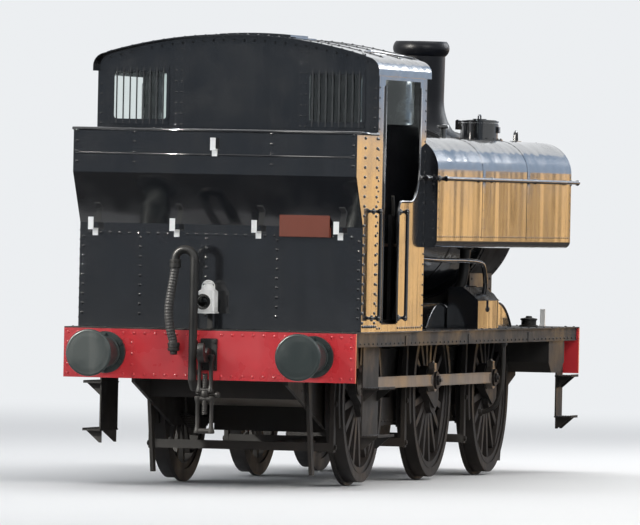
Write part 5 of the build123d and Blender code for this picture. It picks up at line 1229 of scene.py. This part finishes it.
# Running gear: plate edges, splashers, toolboxes, wheels, rods, brakes, steps and pipes

gear = {
    "axles": {"trailing": -2.275, "driving": 0.240, "leading": 2.450}, "axleZ": 0.734,
    "plateZ": 1.286, "valanceY": 1.199, "valanceJoints": (-2.30, 0.0, 2.30),
    "plateBrackets": (-3.10, -0.95, 1.40, 3.30), "splasherRadius": 0.770, "splasherY": 0.872,
    "wheelFace": 0.820, "hubFace": 0.832, "collarY": 0.930, "rodY": 0.908, "frameY": 0.654,
    "pins": {1: (0.11795, 0.26493), -1: (-0.26493, 0.11795)},
    "brakeX": -0.795, "hangerY": 0.765, "brakeZ": 0.330,
}


def makePlateDetail():
    y, z = gear["valanceY"], gear["plateZ"]
    rows = [((-4.12, y, 1.190), (4.12, y, 1.190), 0.150, leftward)]
    rows += [((x + shift, y, 1.185), (x + shift, y, 1.245), 0.06, leftward)
             for x in gear["valanceJoints"] for shift in (-0.05, 0.05)]
    rivetPiece("valanceRivets", bothSides(rows), 0.010, 0.007, "frame_paint")
    bolts = bothSides([((-4.10, 1.175, z), (-3.60, 1.175, z), 0.25, upward),
                       ((-1.60, 1.190, z), (4.10, 1.190, z), 0.30, upward)])
    bolts += [((x, -1.10, z), (x, 1.10, z), 0.22, upward) for x in (4.165, -4.165)]
    rivetPiece("plateBolts", bolts, 0.012, 0.007, "frame_paint")
    shape = bmesh.new()
    for side in (1, -1):
        for x in gear["valanceJoints"]:
            addBlock(shape, (x - 0.09, side * y, 1.170), (x + 0.09, side * (y + 0.006), 1.250),
                     0.001)
        for x in gear["plateBrackets"]:
            addPrism(shape, mirrored([(x, 0.655, 1.275), (x, 1.185, 1.275), (x, 1.185, 1.235),
                                      (x, 0.72, 1.120), (x, 0.655, 1.120)], side), (0.014, 0, 0))
        addLathe(shape, ((0, 0), (0.085, 0), (0.085, 0.012), (0.066, 0.018), (0.066, 0.055),
                         (0.074, 0.058), (0.074, 0.072), (0.030, 0.080), (0.026, 0.094),
                         (0, 0.096)), pointing((3.350, side * 0.950, z), upward), 28)
    bmeshPiece("plateDetail", shape, "frame_paint", sharp=True)


def makeSplasherBeading():
    shape = bmesh.new()
    for x in gear["axles"].values():
        for side in (1, -1):
            centre = (x, side * (gear["splasherY"] + 0.002), gear["axleZ"])
            addTube(shape, arcPoints(centre, gear["splasherRadius"] - 0.006, 46.5, 133.5, 28),
                    0.009, 8)
    bmeshPiece("splasherBeading", shape, smooth=True)


def makeToolboxDetail():
    shape = bmesh.new()
    rear, front, face = 0.466, 1.246, 1.150
    lid = [(rear - 0.006, y, z) for y, z in ((face, 1.529), (1.020, 1.636), (0.884, 1.636))]
    lidTop = [(rear - 0.006, y, z) for y, z in ((1.162, 1.527), (1.024, 1.642), (0.884, 1.642))]
    for side in (1, -1):
        addStrip(shape, mirrored(lid, side), mirrored(lidTop, side), (front - rear + 0.012, 0, 0))
        for x in (0.62, 1.09):
            addBlock(shape, (x - 0.02, side * 0.90, 1.640), (x + 0.02, side * 1.00, 1.648))
            addTube(shape, [(x - 0.035, side * 0.895, 1.646), (x + 0.035, side * 0.895, 1.646)],
                    0.008)
        y = side * face
        addBlock(shape, (0.832, y, 1.430), (0.880, y + side * 0.010, 1.535), 0.003)
        addRing(shape, (0.856, y + side * 0.010, 1.455), 0.010, 0.018, (0, side * 0.007, 0), "XZ",
                20)
        for x in (rear, front - 0.030):
            addBlock(shape, (x, y, 1.290), (x + 0.030, y + side * 0.004, 1.525), 0.001)
    bmeshPiece("toolboxDetail", shape, sharp=True)


def makeWheelDetail():
    z = gear["axleZ"]
    for name, x in gear["axles"].items():
        shape = bmesh.new()
        for side, way in sides:
            addLathe(shape, ((0, -0.002), (0.098, -0.002), (0.098, 0.006), (0.090, 0.010),
                             (0.030, 0.010), (0.022, 0.004), (0, 0.002)),
                     pointing((x, side * gear["hubFace"], z), way), 32)
            face = (x, side * gear["wheelFace"], z)
            for inner, outer, depth in ((0.628, 0.634, 0.003), (0.694, 0.700, 0.0015)):
                addRing(shape, face, inner, outer, (0, side * depth, 0), "XZ", 96)
            pinX, pinZ = gear["pins"][side]
            cap = pointing((x + pinX, side * gear["collarY"], z + pinZ), way)
            addLathe(shape, ((0, -0.002), (0.046, -0.002), (0.046, 0.014), (0.040, 0.018),
                             (0, 0.018)), cap, 6)
            addLathe(shape, ((0, 0.016), (0.018, 0.016), (0.018, 0.026), (0.013, 0.030),
                             (0, 0.030)), cap, 18)
        bmeshPiece(name + "WheelDetail", shape, "wheel_paint", name + "_wheelset", sharp=True)


def makeRodDetail():
    for side, name in ((1, "rod_left"), (-1, "rod_right")):
        pinX, pinZ = gear["pins"][side]
        z = gear["axleZ"] + pinZ
        face = side * gear["rodY"]
        shape = bmesh.new()
        eyes = [x + pinX for x in gear["axles"].values()]
        for rear, front in zip(eyes, eyes[1:]):
            for edge in (-0.040, 0.032):
                addBlock(shape, (rear + 0.14, face, z + edge),
                         (front - 0.14, face + side * 0.004, z + edge + 0.008), 0.001)
            for end in (rear + 0.14, front - 0.148):
                addBlock(shape, (end, face, z - 0.034),
                         (end + 0.008, face + side * 0.004, z + 0.034), 0.001)
        for x in eyes:
            addRing(shape, (x, face, z), 0.056, 0.066, (0, side * 0.0035, 0), "XZ", 40)
            addRing(shape, (x, face, z), 0.088, 0.095, (0, side * 0.003, 0), "XZ", 48)
            addLathe(shape, ((0, 0), (0.020, 0), (0.020, 0.004), (0.013, 0.007), (0.013, 0.016),
                             (0.008, 0.019), (0, 0.020)),
                     pointing((x, side * 0.883, z + 0.144), upward), 16)
        knuckle = eyes[1] + 0.20
        addRing(shape, (knuckle, face, z), 0.012, 0.030, (0, side * 0.006, 0), "XZ", 32)
        addNut(shape, (knuckle, face + side * 0.004, z), (0, side, 0), 0.016, 0.014)
        bmeshPiece(name + "Detail", shape, "rod_steel", name, sharp=True)


def makeBrakeDetail():
    nuts = []
    shape = bmesh.new()
    low, y = gear["brakeZ"], gear["hangerY"] + 0.018
    for axle in gear["axles"].values():
        x = axle + gear["brakeX"]
        nuts += [((x, y, low), leftward), ((x + 0.036, y, 1.165), leftward),
                 ((x + 0.010, y, gear["axleZ"] - 0.05), leftward),
                 ((x, 0.60, low + 0.035), upward)]
        addLathe(shape, pinOutline(0.034, 0.05, 0.005), pointing((x + 0.10, 0, low), forward), 18)
    nutPiece("brakeNuts", bothSides(nuts), 0.024, 0.018, "frame_paint")
    bmeshPiece("brakeDetail", shape, "frame_paint", sharp=True)


def makeStepDetail():
    shape = bmesh.new()
    for rear, front, treads in ((-3.484, -2.904, (0.439, 0.829)), (3.790, 4.080, (0.499, 0.859))):
        for side in (1, -1):
            for tread in treads:
                for index in range(5):
                    y = side * (1.120 + 0.026 * index)
                    addBlock(shape, (rear + 0.02, y - 0.004, tread - 0.001),
                             (front - 0.02, y + 0.004, tread + 0.004), 0.001)
                addBlock(shape, (rear, side * 1.239, tread - 0.012),
                         (front, side * 1.245, tread + 0.010), 0.001)
                for x in (rear + 0.05, front - 0.062):
                    addPrism(shape, mirrored([
                        (x, 1.095, tread - 0.012), (x, 1.225, tread - 0.012),
                        (x, 1.115, tread - 0.110), (x, 1.095, tread - 0.110)], side),
                        (0.012, 0, 0))
    bmeshPiece("stepDetail", shape, "frame_paint", sharp=True)


def makeFrameRivets():
    y = gear["frameY"]
    rows = [((rear, y, z), (front, y, z), pitch, leftward) for rear, front, z, pitch in (
        (-2.70, 2.80, 0.515, 0.12), (3.05, 3.85, 0.92, 0.10), (-4.10, -3.30, 0.90, 0.10))]
    rows += [((x, y, low), (x, y, 1.10), 0.09, leftward)
             for x, low in ((-3.695, 0.80), (-0.40, 0.62), (1.73, 0.62))]
    rivetPiece("frameRivets", bothSides(rows), 0.013, 0.009, "frame_paint")


# Pipes: under the tanks, across and down the frames, and the ejector pipe beside the boiler
balanceHalf = ((1.00, 1.990), (1.00, 1.70), (0.92, 1.60), (0.80, 1.52), (0.50, 1.45))
pipes = (
    # name, radius, slot, points
    ("tankFeedPipe", 0.020, "black_paint", (
        (-1.70, -1.05, 1.90), (-1.30, -1.10, 1.87), (0.75, -1.10, 1.87), (0.92, -1.10, 1.80),
        (0.98, -1.10, 1.60), (0.98, -1.04, 1.40))),
    ("tankFeedPipeLeft", 0.020, "black_paint", (
        (-1.70, 1.05, 1.90), (-1.30, 1.10, 1.87), (1.75, 1.10, 1.87), (1.92, 1.10, 1.80),
        (1.98, 1.10, 1.60), (1.98, 1.10, 1.30))),
    ("standPipe", 0.022, "frame_paint", (
        (1.38, -1.170, 1.164), (1.38, -1.175, 0.95), (1.36, -1.165, 0.72), (1.34, -1.10, 0.58),
        (1.34, -0.98, 0.56))),
    ("tankBalancePipe", 0.045, "frame_paint", (
        *((0.60, -y, z) for y, z in balanceHalf), *((0.60, y, z) for y, z in balanceHalf[::-1]))),
    ("ejectorPipe", 0.040, "black_paint", (
        (-1.728, 0.60, 2.96), (-1.40, 0.62, 2.955), (2.30, 0.62, 2.955), (2.55, 0.60, 2.90),
        (2.66, 0.56, 2.78), (2.70, 0.52, 2.74))),
)


def makePipes():
    for name, radius, slotName, points in pipes:
        line = routeLine(name + "Line", points)
        shape = bmesh.new()
        addTube(shape, line, radius, 14)
        union = ((0, 0), (radius * 1.7, 0), (radius * 1.7, 0.014), (radius * 1.45, 0.030),
                 (0, 0.030))
        for end, inner in ((line[0], line[1]), (line[-1], line[-2])):
            addLathe(shape, union, pointing(end, inner - end), 6)
        bmeshPiece(name, shape, slotName, sharp=True)


makePlateDetail()
makeSplasherBeading()
makeToolboxDetail()
makeWheelDetail()
makeRodDetail()
makeBrakeDetail()
makeStepDetail()
makeFrameRivets()
makePipes()
print("running gear dressed")


# Cab inside: backhead fittings, gauges, pipes, seats, levers and the handbrake

backhead = {
    "x": -2.204,
    "gauges": ((-0.330, 2.629, 0.075), (0.330, 2.669, 0.075), (0, 2.819, 0.090)),
    "wheelValves": ((-0.52, 2.30), (0.52, 2.30), (-0.46, 2.74), (0.46, 2.74)),
    "pipes": (
        ((-0.330, 2.554), (-0.345, 2.40), (-0.46, 2.33), (-0.60, 2.20), (-0.62, 1.95),
         (-0.62, 1.55)),
        ((0.330, 2.594), (0.345, 2.42), (0.46, 2.33), (0.60, 2.20), (0.62, 1.95), (0.62, 1.55)),
        ((0.0, 2.729), (0.02, 2.69), (0.20, 2.70), (0.40, 2.76), (0.46, 2.74)),
        ((-0.46, 2.70), (-0.50, 2.60), (-0.66, 2.50), (-0.70, 2.20), (-0.70, 1.60)),
    ),
}


def makeGauges():
    dials = bmesh.new()
    rims = bmesh.new()
    marks = bmesh.new()
    x = backhead["x"] - 0.070
    for y, z, radius in backhead["gauges"]:
        place = pointing((x, y, z), backward)
        glass = radius - 0.012
        addLathe(dials, ((0, 0), (glass, 0), (glass, 0.002), (0, 0.002)), place, 36)
        addLathe(rims, ((glass, 0), (radius, 0), (radius + 0.004, 0.006), (radius - 0.004, 0.014),
                        (glass, 0.010), (glass, 0)), place, 36)
        for step in range(9):
            turn = -45 + 270 * step / 8
            addTube(marks, [around((x - 0.0025, y, z), radius - inset, turn)
                            for inset in (0.026, 0.016)], 0.0016, 6)
        needle = radius - 0.03
        addTube(marks, [(x - 0.003, y, z), (x - 0.003, y - needle * 0.8, z + needle * 0.5)],
                0.0022, 6)
    bmeshPiece("gaugeDials", dials, "cab_paint", finish=dialWhite)
    bmeshPiece("gaugeRims", rims, "brass", sharp=True)
    bmeshPiece("gaugeMarks", marks, "hose_black")


def makeBackheadValves():
    x = backhead["x"]
    shape = bmesh.new()
    for y in (-0.20, 0.26):
        for z in (2.335, 2.600):
            addLathe(shape, ((0, 0), (0.026, 0), (0.030, 0.012), (0.030, 0.050), (0.020, 0.062),
                             (0, 0.066)), pointing((x - 0.062, y, z), backward), 18)
    for y, z in backhead["wheelValves"]:
        addLathe(shape, ((0, 0), (0.045, 0), (0.045, 0.012), (0.026, 0.018), (0.026, 0.060),
                         (0.014, 0.066), (0.014, 0.100), (0, 0.100)),
                 pointing((x, y, z), backward), 20)
        addRing(shape, (x - 0.108, y, z), 0.038, 0.048, (0.010, 0, 0), "YZ", 28)
        for turn in range(0, 180, 60):
            addTube(shape, [around((x - 0.103, y, z), reach, turn) for reach in (-0.042, 0.042)],
                    0.004, 6)
    bmeshPiece("backheadValves", shape, "brass", sharp=True)
    shape = bmesh.new()
    for route in backhead["pipes"]:
        addTube(shape, routeLine("cabPipeLine", [(x - 0.035, y, z) for y, z in route]), 0.011)
    bmeshPiece("cabPipes", shape, "brass", finish=copper, smooth=True)


def makeBackheadIronwork():
    x = backhead["x"]
    door = x - 0.040
    shape = bmesh.new()
    for z in (1.615, 1.948):
        addBlock(shape, (door - 0.012, -0.235, z), (door, 0.235, z + 0.015), 0.003)
    for side in (1, -1):
        addBlock(shape, (door - 0.018, side * 0.006, 1.640), (door - 0.002, side * 0.205, 1.940),
                 0.006)
        addTube(shape, [(door - reach, side * 0.03, z) for reach, z in (
            (0.020, 1.74), (0.045, 1.75), (0.045, 1.83), (0.020, 1.84))], 0.008, 8)
    for y in (-0.60, -0.40, -0.20, 0.0, 0.20, 0.40, 0.60):
        for z in (1.50, 2.10):
            addNut(shape, (x, y, z), backward, 0.016, 0.012)
    addTube(shape, [(-2.300, -1.055, 2.235), (-2.300, -1.055, 2.300), (-2.330, -1.055, 2.400)],
            0.014)
    addBlock(shape, (-2.46, -1.085, 1.347), (-2.14, -1.025, 1.380), 0.006)
    brake = -2.304
    addTube(shape, [(brake, 1.00, 1.347), (brake, 1.00, 2.30)], 0.022, 12)
    addTube(shape, [(brake, 1.00, 2.28), (brake, 0.86, 2.28), (brake, 0.86, 2.40)], 0.012)
    bmeshPiece("backheadIronwork", shape, "cab_paint", sharp=True)


def makeSeats():
    wood = bmesh.new()
    for side in (1, -1):
        for x in (-2.05, -1.94, -1.83):
            addBlock(wood, (x - 0.05, side * 0.93, 1.98), (x + 0.05, side * 1.16, 2.005), 0.005)
        addBlock(wood, (-2.09, side * 1.10, 1.92), (-1.79, side * 1.16, 1.98), 0.004)
    addBlock(wood, (-3.40, -0.48, 1.347), (-3.36, 0.48, 1.90), 0.004)
    bmeshPiece("cabSeats", wood, "floor_wood")
    boards = bmesh.new()
    for index in range(11):
        x = -3.40 + index * 0.105
        addBlock(boards, (x, -1.10, 1.346), (x + 0.100, 1.10, 1.354), 0.003)
    bmeshPiece("floorBoards", boards, "floor_wood")


makeGauges()
makeBackheadValves()
makeBackheadIronwork()
makeSeats()
print("cab fitted out")


# Stage: floor, cards, lamps and world

backdrop = (0.84, 0.86, 0.88, 1.0)


# Which rays see the pale background: the camera's, and those seen in metal or through glass.
def seenRays(tree):
    rays = tree.nodes.new("ShaderNodeLightPath").outputs
    seen = addMath(tree, "MAXIMUM", rays["Is Camera Ray"], rays["Is Glossy Ray"])
    return addMath(tree, "MAXIMUM", seen, rays["Is Transmission Ray"])


# A four-cornered sheet of the stage, shown in the given shader.
def makeSheet(name, corners, material, shader):
    mesh = bpy.data.meshes.new(name)
    mesh.from_pydata(corners, [], [(0, 1, 2, 3)])
    mesh.materials.append(material)
    tree = material.node_tree
    feed(tree, tree.nodes["Material Output"], {"Surface": shader})
    sheet = linkObject(name, mesh)
    return sheet


# A pale floor that fades into the backdrop's own colour away from the engine.
def makeFloor():
    reach, fadeFrom, fadeTo = 400.0, 7.0, 34.0
    material, tree, shader = newMaterial("paleFloor")
    feed(tree, shader, {"Base Color": (0.80, 0.80, 0.79, 1.0), "Roughness": 0.9,
                        "Specular IOR Level": 0.0})
    length = addNode(tree, "ShaderNodeVectorMath", {0: objectPlace(tree)}, operation="LENGTH")
    away = addRange(tree, length.outputs["Value"], 0.0, 1.0, fadeFrom, fadeTo)
    glow = addNode(tree, "ShaderNodeEmission", {"Color": backdrop})
    mix = addNode(tree, "ShaderNodeMixShader", {
        "Fac": addMath(tree, "MULTIPLY", away, seenRays(tree)),
        1: shader.outputs["BSDF"], 2: glow.outputs["Emission"],
    })
    makeSheet("floor", ((-reach, -reach, 0), (reach, -reach, 0), (reach, reach, 0),
                        (-reach, reach, 0)), material, mix.outputs["Shader"])


# A card that only polished surfaces see: two colours in upright streaks.
def makeCard(name, start, end, lean, low, high, dark, light, streakScale):
    material, tree, shader = newMaterial(name)
    tree.nodes.remove(shader)
    streaks = addNoise(tree, objectPlace(tree), streakScale, 5.0, 0.6, (1.0, 1.0, 0.06))
    colour = addMix(tree, addRange(tree, streaks, 0.0, 1.0, 0.40, 0.55), (*dark, 1.0),
                    (*light, 1.0))
    glow = addNode(tree, "ShaderNodeEmission", {"Color": colour})
    corners = [(*start, low), (*end, low)]
    corners += [(x + lean[0], y + lean[1], high) for x, y in (end, start)]
    card = makeSheet(name, corners, material, glow.outputs["Emission"])
    for kind in ("camera", "diffuse", "transmission", "shadow", "volume_scatter"):
        setattr(card, "visible_" + kind, False)


cards = (
    # name, ends of the lower edge, lean, low and high edge, darker and lighter colour, streaks
    ("warmCard", (45, -4), (45, -40), (0, 0), 0.02, 3.25, (0.08, 0.045, 0.025), (2.0, 1.24, 0.54),
     0.6),
    ("blueCard", (46, -4), (46, -60), (0, 0), 3.25, 60.0, (0.34, 0.45, 0.62), (0.50, 0.62, 0.80),
     0.2),
    ("dimCard", (-110, 70), (-110, -70), (0, 0), 0.02, 45.0, (0.16, 0.19, 0.23),
     (0.30, 0.34, 0.39), 0.12),
    ("rearGround", (-60, -30), (-5, -30), (0, 60), 0.01, 0.01, (0.03, 0.03, 0.034),
     (0.08, 0.075, 0.07), 0.3),
    ("foreGround", (-2, -60), (70, -60), (0, 60), 0.01, 0.01, (0.04, 0.04, 0.045),
     (0.10, 0.09, 0.08), 0.3),
)
lamps = (
    # name, place, target, size, power, colour, seen by matt surfaces, mirrored by polished ones
    ("keyLamp", (-14, -12, 12), (0, 0, 1.5), (9, 9), 1500, (1.0, 0.97, 0.92), True, True),
    ("glintLamp", (-16, 14, 12), (-4, 0, 1.8), (1.2, 1.2), 14000, (1.0, 0.96, 0.88), False, True),
    ("fillLamp", (-16, 10, 7), (-2, 0, 1.5), (8, 6), 700, (0.90, 0.95, 1.0), True, False),
    ("topLamp", (4, 0, 13), (0, 0, 2.0), (12, 7), 900, (1, 1, 1), True, True),
    ("frontLamp", (15, -8, 8), (2, 0, 1.5), (8, 6), 900, (1, 1, 1), True, True),
)


def makeLamp(name, place, target, size, power, colour, diffuse, glossy):
    light = bpy.data.lights.new(name, "AREA")
    light.shape = "RECTANGLE"
    light.size, light.size_y = size
    light.energy = power
    light.color = colour
    lamp = linkObject(name, light)
    lamp.visible_diffuse = diffuse
    lamp.visible_glossy = glossy
    lamp.location = place
    lamp.rotation_euler = (Vector(target) - Vector(place)).to_track_quat("-Z", "Y").to_euler()


# Soft even light, and the backdrop's colour for the rays that show it.
def makeWorld():
    world = bpy.data.worlds.new("studio")
    bpy.context.scene.world = world
    world.use_nodes = True
    tree = world.node_tree
    shown = addMix(tree, seenRays(tree), (0.50, 0.52, 0.56, 1.0), backdrop)
    feed(tree, tree.nodes["Background"], {"Color": shown})


makeFloor()
for card in cards:
    makeCard(*card)
for lamp in lamps:
    makeLamp(*lamp)
makeWorld()
bpy.context.scene.view_settings.view_transform = "Standard"
print("stage set")
